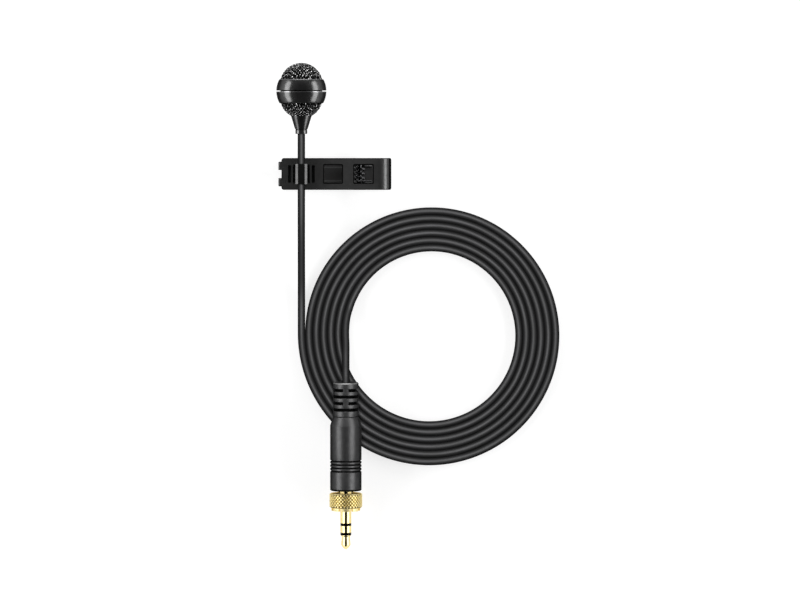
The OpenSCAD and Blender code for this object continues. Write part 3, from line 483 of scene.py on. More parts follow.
back_to_back = on_head @ Matrix.Scale(-1, 4, (0, 0, 1))
# Each ring carries a painted highlight on one edge: the front ring's on its lip, the rear ring's at
# the groove.
for name, node, length, dome_at, place, painted_highlight_at in (
    ("front_clamp_ring", "front_ring", 3.6, 2.15, on_head, groove_y + 3.72),
    ("rear_clamp_ring", "rear_ring", 3.8, 1.95, back_to_back, groove_y - 0.3),
):
    ring_lacquer = lacquered(name + "_black", 0.054, 0.066, 0.16, painted_highlight_at)
    ring = piece_from(name, turned(ring_outline(length, dome_at), place, 220), ring_lacquer)
    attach(ring, "microphone")
    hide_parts(node)

# ---- Grilles --------------------------------------------------------------------------------
# Two domes of fine woven black wire, pressed to shape. Each wire passes over one crossing
# wire and under the next. The front dome is whole, and the rear one is cut open round the
# neck.

dome_r = 6.68
wire_pitch = 0.66
wire_r = 0.18


def woven_black(name, centre, glint_bright):
    """Blackened wire with painted glints: it is paler where it stands highest out of the cloth."""
    material, start, spot = open_finish(name)
    glint_noise = grain(start, spot, 0.45)
    from_centre = {0: spot, 1: tuple(c * 0.001 for c in centre)}
    out = start.make("ShaderNodeVectorMath", from_centre, {"operation": "DISTANCE"}, out="Value")
    height = (out * 1000 - dome_r) / (2 * wire_r)
    # Painted glints: the crests are lightened, more where the noise is high.
    shine = height * (glint_noise * 2.4 - 0.35)
    tone = shine.ramp((0.3, 0.008), (0.6, (0.05, 0.05, 0.0505)), (0.9, glint_bright))
    close_material(start, tone, 0.26 + 0.1 * glint_noise, 1.0, others=dark_edge)
    return material


def open_group(name, sockets):
    """A Geometry Nodes group, its first Wire, and a Wire for each of its inputs."""
    group = bpy.data.node_groups.new(name, "GeometryNodeTree")
    for label, kind in sockets.items():
        group.interface.new_socket(label, in_out="INPUT", socket_type="NodeSocket" + kind)
    group.interface.new_socket("Geometry", in_out="OUTPUT", socket_type="NodeSocketGeometry")
    start = Wire(group)
    return group, start, {label: start.make("NodeGroupInput", out=label) for label in sockets}


def close_group(start, geometry, material):
    """Ends a group in one plain mesh of that material."""
    whole = start.make("GeometryNodeRealizeInstances", {"Geometry": geometry})
    values = {"Geometry": whole, "Material": material}
    finished = start.make("GeometryNodeSetMaterial", values)
    start.make("NodeGroupOutput", {"Geometry": finished})


inputs = {"Dome radius": "Float", "Rim height": "Float", "Wire pitch": "Float"}
inputs |= {"Wire radius": "Float", "Wires": "Int", "Points": "Int", "Wire": "Material"}
weave, start, given = open_group("woven_dome", inputs)
radius, pitch = given["Dome radius"], given["Wire pitch"]
families = []
for turn, sign in ((0.0, 1.0), (math.pi / 2, -1.0)):
    first = start.make("ShaderNodeCombineXYZ", {"X": (given["Wires"] - 1) * pitch * -0.5})
    step = start.make("ShaderNodeCombineXYZ", {"X": pitch})
    values = {"Count": given["Wires"], "Start Location": first, "Offset": step}
    posts = start.make("GeometryNodeMeshLine", values)
    step = start.make("ShaderNodeCombineXYZ", {"Y": 2.0 / (given["Points"] - 1)})
    values = {"Count": given["Points"], "Start Location": (0, -1, 0), "Offset": step}
    strand = start.make("GeometryNodeMeshLine", values)
    rows = start.make("GeometryNodeInstanceOnPoints", {"Points": posts, "Instance": strand})
    lines = start.make("GeometryNodeRealizeInstances", {"Geometry": rows})
    curves = start.make("GeometryNodeMeshToCurve", {"Mesh": lines})
    here = start.make("GeometryNodeInputPosition")
    x = start.make("ShaderNodeSeparateXYZ", {"Vector": here}, out="X")
    y = start.make("ShaderNodeSeparateXYZ", {"Vector": here}, out="Y")
    hoop = start.maths("SQRT", start.maths("MAXIMUM", radius * radius - x * x, 0.01))
    low = start.maths("MINIMUM", given["Rim height"] / hoop, 1.0)
    swing = start.maths("ARCCOSINE", low) * y
    sideways = hoop * start.maths("SINE", swing)
    upwards = hoop * start.maths("COSINE", swing)
    row = start.maths("ROUND", x / pitch)
    odd = start.maths("COSINE", row * math.pi)
    over = start.maths("COSINE", sideways / pitch * math.pi) * odd * sign
    grown = over * given["Wire radius"] * 0.95 / radius + 1.0
    spot = start.make("ShaderNodeCombineXYZ", {"X": x, "Y": sideways, "Z": upwards})
    values = {"Vector": spot, "Scale": grown}
    woven = start.make("ShaderNodeVectorMath", values, {"operation": "SCALE"})
    placed = start.make("GeometryNodeSetPosition", {"Geometry": curves, "Position": woven})
    values = {"Resolution": 6, "Radius": given["Wire radius"]}
    section = start.make("GeometryNodeCurvePrimitiveCircle", values)
    values = {"Curve": placed, "Profile Curve": section, "Fill Caps": True}
    wires = start.make("GeometryNodeCurveToMesh", values)
    values = {"Geometry": wires, "Rotation": (0, 0, turn)}
    families.append(start.make("GeometryNodeTransform", values))
cloth = start.make("GeometryNodeJoinGeometry")
for family in families:
    weave.links.new(family.socket, cloth.socket.node.inputs[0])
close_group(start, cloth, given["Wire"])


def from_tree(name, tree, inputs):
    """The plain mesh that a Geometry Nodes tree makes with these inputs, as a bmesh."""
    holder = bpy.data.objects.new(name, bpy.data.meshes.new(name))
    scene.collection.objects.link(holder)
    modifier = holder.modifiers.new(name, "NODES")
    modifier.node_group = tree
    for item in tree.interface.items_tree:
        if item.in_out == "INPUT" and item.name in inputs:
            modifier[item.identifier] = inputs[item.name]
    graph = bpy.context.evaluated_depsgraph_get()
    mesh = bpy.data.meshes.new_from_object(holder.evaluated_get(graph), depsgraph=graph)
    bm = bmesh.new()
    bm.from_mesh(mesh)
    bpy.data.objects.remove(holder)
    bpy.data.meshes.remove(mesh)
    return bm


# The front grille's painted glints are brighter than the rear one's: painted light at the front,
# painted shade at the back.
for name, node, dome_at, lip, place_on, neck_r, glint_bright in (
    ("front_woven_grille", "front_grille", 2.15, 3.4, on_head, 0, 0.62),
    ("rear_woven_grille", "rear_grille", 1.95, 3.5, back_to_back, 3.42, 0.36),
):
    place_dome = place_on @ Matrix.Translation((0, 0, dome_at))
    mesh_wire = woven_black(name + "_wire", place_dome.translation, glint_bright)
    values = {"Dome radius": dome_r, "Rim height": lip - dome_at, "Wire pitch": wire_pitch}
    values |= {"Wire radius": wire_r, "Wires": 21, "Points": 97, "Wire": mesh_wire}
    bm = from_tree(name, weave, values)
    if neck_r:
        middles = [(face, face.calc_center_median()) for face in bm.faces]
        inside = [face for face, at in middles if at.xy.length < neck_r and at.z > 0]
        bmesh.ops.delete(bm, geom=inside, context="FACES")
        bmesh.ops.holes_fill(bm, edges=[e for e in bm.edges if e.is_boundary], sides=8)
    turn_cloth = Matrix.Rotation(math.radians(45), 4, "Z")
    bm.transform(place_dome @ turn_cloth)
    if place_dome.is_negative:
        bmesh.ops.reverse_faces(bm, faces=bm.faces)
    grille = piece_from(name, bm, mesh_wire)
    light_from(grille, "grille")
    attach(grille, "microphone")
    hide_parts(node)

# ---- Inside the head ------------------------------------------------------------------------
# A turned barrel carries both grilles and shows at the bottom of the groove. The capsule sits
# in it in a rubber seat, with foam behind each grille, and a spider ties the barrel to the
# neck's stem.


def soft_black(name, dark, light, size, roughness):
    """A matt black with soft grains, for foam and rubber."""
    material, start, spot = open_finish(name)
    cells = start.make("ShaderNodeTexVoronoi", {"Vector": spot, "Scale": 1000 / size})
    tone = cells.ramp((0.1, dark), (0.8, light))
    close_material(start, tone, roughness, 0.0, bumps(start, cells, size * 0.3))
    return material


def mottled(uneven, colour, darker):
    """A colour that is that much darker in places."""
    return uneven.ramp((0.3, tuple(c * darker for c in colour)), (0.7, colour))


def bare_metal(name, colour, roughness, size):
    """A plain machined metal with fine uneven gloss."""
    material, start, spot = open_finish(name)
    uneven = grain(start, spot, size)
    close_material(start, mottled(uneven, colour, 0.8), roughness + 0.12 * uneven, 1.0)
    return material


def moulded(name, colour, roughness, shine=0.5):
    """A plain moulded plastic with a faint grain."""
    material, start, spot = open_finish(name)
    uneven = grain(start, spot, 0.4)
    tone, relief = mottled(uneven, colour, 0.85), bumps(start, uneven, 0.008)
    others = {"Specular IOR Level": shine}
    close_material(start, tone, roughness + 0.1 * uneven, 0.0, relief, others)
    return material


def dress(node, material):
    """Gives a node of the solid model its finish."""
    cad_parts[node].data.materials.clear()
    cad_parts[node].data.materials.append(material)


foam = soft_black("foam_black", 0.002, 0.009, 0.35, 0.95)
seat_rubber = soft_black("seat_rubber_black", 0.008, 0.014, 0.15, 0.6)
turned_metal = bare_metal("turned_metal_black", (0.012, 0.012, 0.012), 0.4, 0.3)
capsule_metal = bare_metal("capsule_can_metal", (0.62, 0.62, 0.64), 0.3, 0.3)
electrode = bare_metal("electrode_brass", (0.62, 0.45, 0.2), 0.3, 0.2)
for node, material in (
    ("capsule_barrel", turned_metal),
    ("neck_spider", turned_metal),
    ("capsule_seat", seat_rubber),
    ("capsule_can", capsule_metal),
    ("cable_stop", capsule_metal),
    ("capsule_diaphragm", electrode),
    ("capsule_backplate", electrode),
    ("capsule_spacer", moulded("spacer_white", (0.7, 0.68, 0.6), 0.5)),
    ("capsule_board", moulded("board_green", (0.03, 0.16, 0.06), 0.4)),
    ("front_foam", foam),
    ("rear_foam", foam),
    ("head_wires", moulded("core_insulation_red", (0.35, 0.04, 0.02), 0.45)),
    ("cable_head_end", jacket),
):
    dress(node, material)

# ---- Neck -----------------------------------------------------------------------------------
# A turned cone in black lacquer like the rings', painted darker than theirs as painted shade. The
# rear grille sits on its wide end, and a short collar closes its narrow end round the cable. The
# collar's lacquer is painted lighter, as a painted highlight.


def eased(corners, steps=4):
    """A closed outline whose corners, given as (x, y, radius), are rounded off."""
    outline = []
    for i, (x, y, radius) in enumerate(corners):
        here = Vector((x, y))
        if not radius:
            outline.append((x, y))
            continue
        back = (Vector(corners[i - 1][:2]) - here).normalized()
        on = (Vector(corners[(i + 1) % len(corners)][:2]) - here).normalized()
        half = back.angle(on) / 2
        centre = here + (back + on).normalized() * (radius / math.sin(half))
        start = here + back * (radius / math.tan(half)) - centre
        end = here + on * (radius / math.tan(half)) - centre
        first = math.atan2(start.y, start.x)
        swing = math.remainder(math.atan2(end.y, end.x) - first, 2 * math.pi)
        for k in range(steps + 1):
            a = first + swing * k / steps
            outline.append((centre.x + radius * math.cos(a), centre.y + radius * math.sin(a)))
    return outline


def finish_bands(bm, place, bands, finish=1):
    """Gives a turned part another of its finishes in these bands of station along its axis."""
    back = place.inverted()
    for face in bm.faces:
        station = (back @ face.calc_center_median()).z
        if any(low < station < high for low, high in bands):
            face.material_index = finish
    return bm


corners = [(1.85, 2.9, 0), (2.5, 2.9, 0.1), (2.5, 0.0, 0), (3.4, 0.0, 0.12)]
corners += [(2.05, -4.44, 0.08), (1.84, -4.56, 0.03), (1.84, -4.74, 0.03), (1.92, -4.82, 0.05)]
corners += [(1.92, -5.98, 0.2), (1.23, -5.98, 0.08), (1.23, -1.7, 0), (1.85, -1.7, 0)]
neck_at = -7.8956
on_neck = on_head @ Matrix.Translation((0, 0, neck_at))
# Painted shade on the cone and a painted highlight on the collar: two copies of one lacquer.
neck_shaded_lacquer = lacquered("neck_lacquer_painted_shade", 0.034, 0.042, 0.2)
collar_lit_lacquer = lacquered("collar_lacquer_painted_highlight", 0.075, 0.09, 0.16)
neck_turned = finish_bands(turned(eased(corners), on_neck, 120), on_neck, [(-5.97, -4.8)])
neck = piece_from("neck_cone", neck_turned, [neck_shaded_lacquer, collar_lit_lacquer])
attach(neck, "microphone")
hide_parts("neck")

# ---- Front jaw ------------------------------------------------------------------------------
# The clip's upper jaw, stamped from 0.8 mm steel and coated satin black. Windows and slots are
# punched in the blank, the two toothed tabs are bent down, the lever end is rolled up, and an
# ear is folded down on each side for the hinge.

sheet = 0.8
clip_half = 5.15
nose = 6.45
plate_bottom = 5.85
flare_at, flare_r, flare_turn = 25.3, 3.35, math.radians(70)
tab_r = 0.2
tab_neutral = tab_r + sheet / 2
tab_arc = tab_neutral * math.pi / 2
tab_square = 0.45
tab_folds = [-nose - 0.01 - tab_arc * i / 16 for i in range(17)]
hinge, ear_foot, ear_r = Vector((18.8, 0, 3.35)), 2.6, 1.6
front_tips, tooth_depth = 3.1, 0.6


def drawn_in(points, by):
    """A closed outline moved inwards by that much, square to each of its sides."""
    moved = []
    for i, (x, y) in enumerate(points):
        before, after = points[i - 1], points[(i + 1) % len(points)]
        a = Vector((x - before[0], y - before[1])).normalized()
        b = Vector((after[0] - x, after[1] - y)).normalized()
        mitre = Vector((-a.y - b.y, a.x + b.x)).normalized()
        reach = by / max(0.35, mitre.dot(Vector((-a.y, a.x))))
        moved.append((x + mitre.x * reach, y + mitre.y * reach))
    return moved


def punched(outlines, thickness, cut=0):
    """A flat stamping, from z = 0 up, as a bmesh whose cut edges get that finish.

    The outlines are pairs of points and how much the edge is rounded. The first runs
    anticlockwise, and the rest are holes and run clockwise.
    """
    bm = bmesh.new()
    loops = []
    for points, edge in outlines:
        levels = [(edge, 0.0), (edge * 0.29, edge * 0.29), (0.0, edge)]
        levels += [(by, thickness - z) for by, z in reversed(levels)]
        rings = [
            [bm.verts.new((x, y, z)) for x, y in (drawn_in(points, by) if by else points)]
            for by, z in levels
        ]
        for low, high in zip(rings, rings[1:]):
            for i in range(len(points)):
                j = (i + 1) % len(points)
                bm.faces.new((low[i], low[j], high[j], high[i])).material_index = cut
        loops.append((rings[0], rings[-1]))
    for cap in (0, 1):
        rims = [pair[cap] for pair in loops]
        corners = [v for rim in rims for v in rim]
        for triangle in tessellate_polygon([[v.co for v in rim] for rim in rims]):
            bm.faces.new([corners[i] for i in triangle])
    bmesh.ops.recalc_face_normals(bm, faces=bm.faces)
    return bm


def scored(bm, stations, across=(1, 0, 0)):
    """Cuts the blank's faces along straight lines at these stations, so that it can bend."""
    for station in stations:
        bmesh.ops.bisect_plane(
            bm,
            geom=bm.verts[:] + bm.edges[:] + bm.faces[:],
            dist=1e-5,
            plane_co=Vector(across) * station,
            plane_no=across,
        )


def window(x0, x1, half, corner):
    """A hole with round corners through the sheet, about the clip's centre line."""
    corners = ((x0, -half), (x0, half), (x1, half), (x1, -half))
    return eased([(x, y, corner) for x, y in corners], 5)


def tooth_edge(tip, depth):
    """Half the outline of the blank's toothed end, from the centre line out to a corner."""
    tab_in, tab_out, teeth = 1.33, 3.97, 3
    points = [(-nose, tab_in)]
    for i in range(2 * teeth + 1):
        y = tab_in + (tab_out - tab_in) * i / (2 * teeth)
        points.append((-nose - tip + (0 if i % 2 else depth), y))
    return points + [(-nose, tab_out)]


def blank_outline(end, half, corner, tip, depth):
    """The blank of a jaw: a long plate with two toothed tabs at its nose."""
    corners = ((-nose, -half), (end, -half), (end, half), (-nose, half))
    edge = tooth_edge(tip, depth)
    plate = eased([(x, y, corner) for x, y in corners], 5)
    return plate + edge[::-1] + [(x, -y) for x, y in edge]


def bent_tab(co, outer_up):
    """Where a point of a tab goes when the tab is bent square to the plate."""
    past = -nose - co.x
    if past <= 0:
        return co
    r = tab_r + (co.z if outer_up else sheet - co.z)
    turn = min(past / tab_neutral, math.pi / 2)
    down = max(0.0, past - tab_arc)
    x = -nose - r * math.sin(turn) ** tab_square
    z = -tab_r + r * max(0.0, math.cos(turn)) ** tab_square - down
    return Vector((x, co.y, z if outer_up else sheet - z))


def joined(*parts):
    """Several meshes as one."""
    whole = bmesh.new()
    for part in parts:
        mesh = bpy.data.meshes.new("part")
        part.to_mesh(mesh)
        whole.from_mesh(mesh)
        part.free()
        bpy.data.meshes.remove(mesh)
    return whole


def with_ears(bm, half, root_z, bore):
    """A jaw with an ear on each side, stood on edge from root_z and bored for the hinge pin."""
    direction = 1 if root_z < hinge.z else -1
    drop = abs(hinge.z - root_z)
    outline = [(-ear_foot, 0), (ear_foot, 0), (ear_r, drop)]
    outline += arc((0, drop), ear_r, 0, 180, 20)[1:-1] + [(-ear_r, drop)]
    ears = []
    for side in (1, -1):
        ear = punched([(outline, 0.08), (arc((0, drop), bore, 345, 0, 23), 0.08)], sheet, 1)
        stood = (0, 0, -side, side * half), (0, direction, 0, root_z)
        ear.transform(Matrix(((1, 0, 0, hinge.x), *stood, (0, 0, 0, 1))))
        bmesh.ops.recalc_face_normals(ear, faces=ear.faces)
        ears.append(ear)
    return joined(bm, *ears)


def coated(name, dark, light, roughness=0.28):
    """Satin black powder coat on steel, slightly cloudy, with a fine sandy skin."""
    material, start, spot = open_finish(name)
    powder = grain(start, spot, 0.09)
    cloudy = grain(start, spot, 1.8)
    tone = (cloudy * 0.6 + powder * 0.4).ramp((0.3, dark), (0.7, light))
    relief = bumps(start, powder, 0.006)
    close_material(start, tone, roughness + 0.1 * powder, 0.65, relief, dark_edge)
    return material


front_coat = coated("front_jaw_coat_black", 0.066, 0.085)
# Painted shade: a near black for the stamped edges, windows and slots, the boot's slots, the
# shell's grooves and front edge, and the hub's slots.
shade_black = moulded("black_painted_shade", (0.004, 0.004, 0.004), 0.5, 0.0)

flare_neutral = flare_r + sheet / 2
blank_end = flare_at + flare_neutral * flare_turn
tab_length = tab_arc + (plate_bottom - tab_r) - front_tips
outlines = [
    (blank_outline(blank_end, clip_half, 0.8, tab_length, tooth_depth), 0.2),
    (window(7.36, 13.14, 2.87, 0.15), 0.36),
    (window(17.12, 23.15, 2.9, 0.15), 0.36),
]
for low, high, half in ((1.4, 2.65, 3.0), (3.42, 4.25, 2.78)):
    outlines.append((window(low, high, half, 0.2), 0.08))
    outlines.append((window(-high, -low, half, 0.2), 0.08))
bm = punched(outlines, sheet, 1)
scored(bm, tab_folds)
scored(bm, [flare_at + (blank_end - flare_at) * i / 22 for i in range(22)])
for vert in bm.verts:
    if vert.co.x < -nose:
        vert.co = bent_tab(vert.co, True)
    elif vert.co.x > flare_at:
        turn = (vert.co.x - flare_at) / flare_neutral
        r = flare_r + sheet - vert.co.z
        vert.co.x = flare_at + r * math.sin(turn)
        vert.co.z = sheet + flare_r - r * math.cos(turn)
bmesh.ops.translate(bm, verts=bm.verts, vec=(0, 0, plate_bottom))
bm = with_ears(bm, clip_half, plate_bottom + 0.4, 0.77)
front_jaw = piece_from("clip_front_jaw", bm, [front_coat, shade_black], 20)
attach(front_jaw, "clip_front")
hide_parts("front_jaw")

# ---- Rear jaw -------------------------------------------------------------------------------
# The clip's lower jaw, stamped from the same sheet. A pressed rib stiffens it, its tabs bend
# up to meet the front jaw's teeth, and its ears stand inside the front jaw's.

rear_half, rear_end, rear_tips = 4.25, 27.4, 3.55
rib_half, rib_slope, rib_rise = 2.4, 0.42, 0.15
rib_from, rib_to = 4.5, 15.6
rear_tab = tab_arc + rear_tips - (sheet + tab_r)
rear_blank = blank_outline(rear_end, rear_half, 0.8, rear_tab, tooth_depth)
bm = punched([(rear_blank, 0.12)], sheet, 1)
scored(bm, tab_folds)
scored(bm, (rib_from, rib_from + rib_slope, rib_to - rib_slope, rib_to))
scored(bm, (-rib_half, rib_slope - rib_half, rib_half - rib_slope, rib_half), (0, 1, 0))
for vert in bm.verts:
    if vert.co.x < -nose:
        vert.co = bent_tab(vert.co, False)
    elif abs(vert.co.y) < rib_half and rib_from < vert.co.x < rib_to:
        inward = min(rib_half - abs(vert.co.y), vert.co.x - rib_from, rib_to - vert.co.x)
        vert.co.z += rib_rise * min(1.0, inward / rib_slope)

# The rib's slopes carry a painted highlight, a coat paler than the plate's.
bm.normal_update()
level = 0.985
for face in bm.faces:
    slopes = abs(face.normal.z) < level and face.calc_center_median().x > rib_from
    if face.material_index == 0 and slopes:
        face.material_index = 2
bm = with_ears(bm, rear_half, 0.4, 0.8)
# Painted light: the rear jaw's coat is a lighter copy of the front jaw's, since the rear jaw lies
# in shade under it.
rear_coat_lit = coated("rear_jaw_coat_painted_light", 0.07, 0.09)
highlight_coat = coated("coat_black_painted_highlight", 0.13, 0.16)
rear_jaw = piece_from("clip_rear_jaw", bm, [rear_coat_lit, shade_black, highlight_coat], 20)
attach(rear_jaw, "clip_rear")
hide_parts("rear_jaw")

# ---- Hinge pin and spring -------------------------------------------------------------------
# A plain steel pin is pressed into the front jaw's ears. The spring, three and a half turns of
# steel wire, sits round it and pushes the two lever ends apart. It winds up as the jaw opens.

dark_steel, paint, place = open_finish("spring_steel_dark")
drawn_marks = grain(paint, place, 0.3, 3.0)
shade = drawn_marks.ramp((0.3, (0.03, 0.03, 0.031)), (0.7, (0.1, 0.1, 0.103)))
close_material(paint, shade, 0.16 + 0.12 * drawn_marks, 1.0)

on_hinge = Matrix.Translation(hinge) @ Matrix.Rotation(-math.pi / 2, 4, "X")
rivet_r, end_round = 0.75, 0.12
corners = [(0, -clip_half, 0), (rivet_r, -clip_half, end_round)]
corners += [(rivet_r, clip_half, end_round), (0, clip_half, 0)]
hinge_pin = piece_from("clip_hinge_pin", turned(eased(corners), on_hinge, 48), dark_steel)
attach(hinge_pin, "clip_front")
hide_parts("hinge_pin")

wire_half, spring_r, spring_pitch, spring_turns, spring_leg = 0.375, 1.75, 1.4, 3.5, 4.0
spring_half = spring_turns * spring_pitch / 2
leg_gap = 0.05
leg_high = plate_bottom - wire_half - leg_gap
leg_low = sheet + wire_half + leg_gap
upper_leg = [
    Vector((hinge.x + spring_leg, -spring_half, leg_high)),
    Vector((hinge.x + spring_leg / 2, -spring_half, (leg_high + hinge.z + spring_r) / 2)),
]
lower_leg = [
    Vector((hinge.x + spring_leg / 2, spring_half, (leg_low + hinge.z - spring_r) / 2)),
    Vector((hinge.x + spring_leg, spring_half, leg_low)),
]
turns = []
for i in range(int(spring_turns * 32) + 1):
    a = math.radians(90 + 360 * i / 32)
    y = i / 32 * spring_pitch - spring_half
    turns.append(hinge + Vector((spring_r * math.cos(a), y, spring_r * math.sin(a))))
bm = tube_along(upper_leg + turns + lower_leg, wire_half, 14)
spring = piece_from("clip_spring", bm, dark_steel)
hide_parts("torsion_spring")
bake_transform(spring)

# ---- Cable keeper ---------------------------------------------------------------------------
# A saddle of thin coated steel over the cable. Its legs go through the inner slots of the front
# jaw, and its feet are folded outwards under the jaw.

keeper_side, keeper_t, keeper_top = 1.98, 0.5, 10.05
keeper_in = keeper_side - keeper_t
bevel_in, bevel_down = 0.9, 0.66
arch_from, foot_bottom, foot_end = 6.66, 5.3, 4.7


def mirrored(points):
    """Half an outline's points again on the other side of x = 0, in the order that closes it."""
    return [(-x, *others) for x, *others in reversed(points)]


arch_over = [
    (keeper_side, arch_from, 0),
    (keeper_side, keeper_top - bevel_down, 0.3),
    (keeper_side - bevel_in, keeper_top, 0.3),
]
arch_under = [
    (keeper_in - 0.78, keeper_top - keeper_t, 0),
    (keeper_in, keeper_top - keeper_t - 0.55, 0),
    (keeper_in, arch_from, 0),
]
arch = eased(arch_over + mirrored(arch_over) + mirrored(arch_under) + arch_under, 5)
leg_outline = [
    (keeper_in, foot_bottom),
    (foot_end, foot_bottom),
    (foot_end, foot_bottom + keeper_t),
    (keeper_side, foot_bottom + keeper_t),
    (keeper_side, arch_from + 0.3),
    (keeper_in, arch_from + 0.3),
]
stand = Matrix(((1, 0, 0, 0), (0, 0, -1, 0), (0, 1, 0, 0), (0, 0, 0, 1)))
saddle_l, saddle_front, leg_l = 6.6, 3.25, 5.8
saddle = punched([(arch, 0.1)], saddle_l)
saddle.transform(Matrix.Translation((0, saddle_front, 0)) @ stand)
legs = [punched([(side, 0.06)], leg_l) for side in (leg_outline, mirrored(leg_outline))]
for leg in legs:
    leg.transform(Matrix.Translation((0, leg_l / 2, 0)) @ stand)
    for face in leg.faces:
        face.material_index = 1
bm = joined(saddle, *legs)
keeper_lacquer = lacquered("keeper_lacquer_black", 0.032, 0.04, 0.18)
keeper = piece_from("clip_cable_keeper", bm, [keeper_lacquer, front_coat])
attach(keeper, "clip_front")
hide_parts("cable_keeper")

# ---- Boot -----------------------------------------------------------------------------------
# The strain relief is moulded in black rubber. Four slots, each turned a quarter from the last,
# let it flex, and a thin bridge is left on two sides of each.

on_plug = Matrix.Translation(boot_end) @ Matrix.Rotation(math.pi / 2 + plug_tilt, 4, "X")
boot_r, core_r, slot_half = 4.12, 2.3, 0.47
slots = [2.25 + 2.12 * i for i in range(4)]

boot_rubber, paint, place = open_finish("boot_rubber_black")
texture = grain(paint, place, 0.11)
shade = grain(paint, place, 0.9).ramp((0.3, (0.04, 0.04, 0.0405)), (0.7, (0.052, 0.052, 0.0525)))
close_material(paint, shade, 0.34 + 0.1 * texture, 0.8, bumps(paint, texture, 0.01), dark_edge)

corners = [(1.23, -0.1, 0.15), (boot_r - 0.22, -0.1, 0.03), (boot_r, 0.21, 0.05)]
for at in slots:
    corners += [
        (boot_r, at - slot_half, 0.15),
        (core_r, at - slot_half, 0.1),
        (core_r, at + slot_half, 0.1),
        (boot_r, at + slot_half, 0.15),
    ]
corners += [(boot_r, 10.96, 0.3), (3.4, 10.96, 0), (3.4, 12.05, 0), (4.05, 12.05, 0)]
corners += [(4.05, 12.6, 0), (1.23, 12.6, 0)]
bm = turned(eased(corners, 3), on_plug, 128)
# Painted shade: the slots' walls and floors, and the bridges' inner faces, are near black.
finish_bands(bm, on_plug, [(at - slot_half - 0.02, at + slot_half + 0.02) for at in slots])
# Painted highlight: the rim at the boot's back end takes the paler coat.
finish_bands(bm, on_plug, [(-0.09, 0.22)], 2)
bridges = []
bridge_w, bridge_steps = 1.75, 8
bridge_half = math.degrees(math.asin(bridge_w / 2 / boot_r))
for i, at in enumerate(slots):
    for side in (0, 180):
        middle = side + 90 * (1 - i % 2)
        span = middle - bridge_half, middle + bridge_half, bridge_steps
        loop = arc((0, 0), boot_r - 0.02, *span) + arc((0, 0), core_r - 0.2, *span)[::-1]
        bridge = bmesh.new()
        low = [bridge.verts.new((x, y, at - slot_half - 0.12)) for x, y in loop]
        high = [bridge.verts.new((x, y, at + slot_half + 0.12)) for x, y in loop]
        bridge.faces.new(low)
        bridge.faces.new(high)
        for k in range(len(loop)):
            j = (k + 1) % len(loop)
            wall = bridge.faces.new((low[k], low[j], high[j], high[k]))
            wall.material_index = int(k >= bridge_steps)
        bmesh.ops.recalc_face_normals(bridge, faces=bridge.faces)
        bridge.transform(on_plug)
        bridges.append(bridge)
bm = joined(bm, *bridges)
boot = piece_from("plug_strain_relief", bm, [boot_rubber, shade_black, highlight_coat])
light_from(boot, "plug")
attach(boot, "microphone")
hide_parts("plug_boot")

# ---- Shell ----------------------------------------------------------------------------------
# A turned sleeve in satin black over the soldered end of the plug. It widens from the boot in
# a short cone and has four fine grip grooves near its front.

shell_r, lip_at, lip_round = 5.09, 34.6, 0.45
groove_back, groove_gap, wide, deep = 6, 1.1, 0.27, 0.36
shoulder = eased([(3.45, 11.0, 0), (4.14, 11.0, 0.12), (shell_r, 13.85, 0.15), (shell_r, 20.0, 0)])
# Painted shade: the grooves and the front edge take the near black.
grooves, shaded = [], [(34.4, 36)]
for i in reversed(range(4)):
    at = lip_at - groove_back - groove_gap * i
    shaded.append((at - wide, at + wide))
    grooves += [
        (shell_r, at - wide - 0.06),
        (shell_r - 0.03, at - wide),
        (shell_r - deep * 0.75, at - wide * 0.45),
        (shell_r - deep, at),
        (shell_r - deep * 0.75, at + wide * 0.45),
        (shell_r - 0.03, at + wide),
        (shell_r, at + wide + 0.06),
    ]
outline = (
    shoulder
    + grooves
    + [(shell_r, 34.4)]
    + arc((shell_r - lip_round, lip_at), lip_round, 0, 90, 6)
    + [(4.2, 35.05), (4.1, 34.95), (4.1, 12.0), (3.45, 12.0)]
)

shell_black, paint, place = open_finish("shell_satin_black")
along_lathe = {"Vector": place, "Rotation": (-plug_tilt, 0, 0), "Scale": (0.12, 6.0, 0.12)}
turned_axis = paint.make("ShaderNodeMapping", along_lathe)
values = {"Vector": turned_axis, "Scale": 2200.0, "Detail": 2.0}
lathe_lines = paint.make("ShaderNodeTexNoise", values)
speckle = grain(paint, place, 0.1)
cloudy = grain(paint, place, 1.5)
shade = cloudy.ramp((0.3, (0.036, 0.036, 0.0365)), (0.7, (0.046, 0.046, 0.0465)))
relief = bumps(paint, lathe_lines * 0.4 + speckle * 0.6, 0.008)
close_material(paint, shade, 0.32 + 0.1 * speckle, 0.8, relief, dark_edge)

shell_turned = finish_bands(turned(outline, on_plug, 160), on_plug, shaded)
shell = piece_from("plug_shell_sleeve", shell_turned, [shell_black, shade_black])
light_from(shell, "plug")
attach(shell, "microphone")
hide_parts("plug_shell")

# ---- Lock ring ------------------------------------------------------------------------------
# A gold-plated brass ring with a diamond knurl and a castellated rim. It turns freely on the
# plug's barrel and screws on to the socket. Each diamond of the knurl is one low block with
# sloping sides.

knurl_at, rim_end, rim_r, rim_bore = 35.9, 41.6, 4.65, 3.6
root_r, peak, sunk = 5.1, 0.2, 0.04


def from_axis(start, spot, inner, rise):
    """From 0 at that distance from the plug's axis in millimetres to 1 that much further out."""
    values = {0: spot, 1: tuple(boot_end * 0.001)}
    off = start.make("ShaderNodeVectorMath", values, {"operation": "SUBTRACT"})
    values = {0: off, 1: tuple(plug_axis)}
    swung = start.make("ShaderNodeVectorMath", values, {"operation": "CROSS_PRODUCT"})
    out = start.make("ShaderNodeVectorMath", {0: swung}, {"operation": "LENGTH"}, out="Value")
    return start.maths("MINIMUM", start.maths("MAXIMUM", (out * 1000 - inner) / rise, 0), 1)


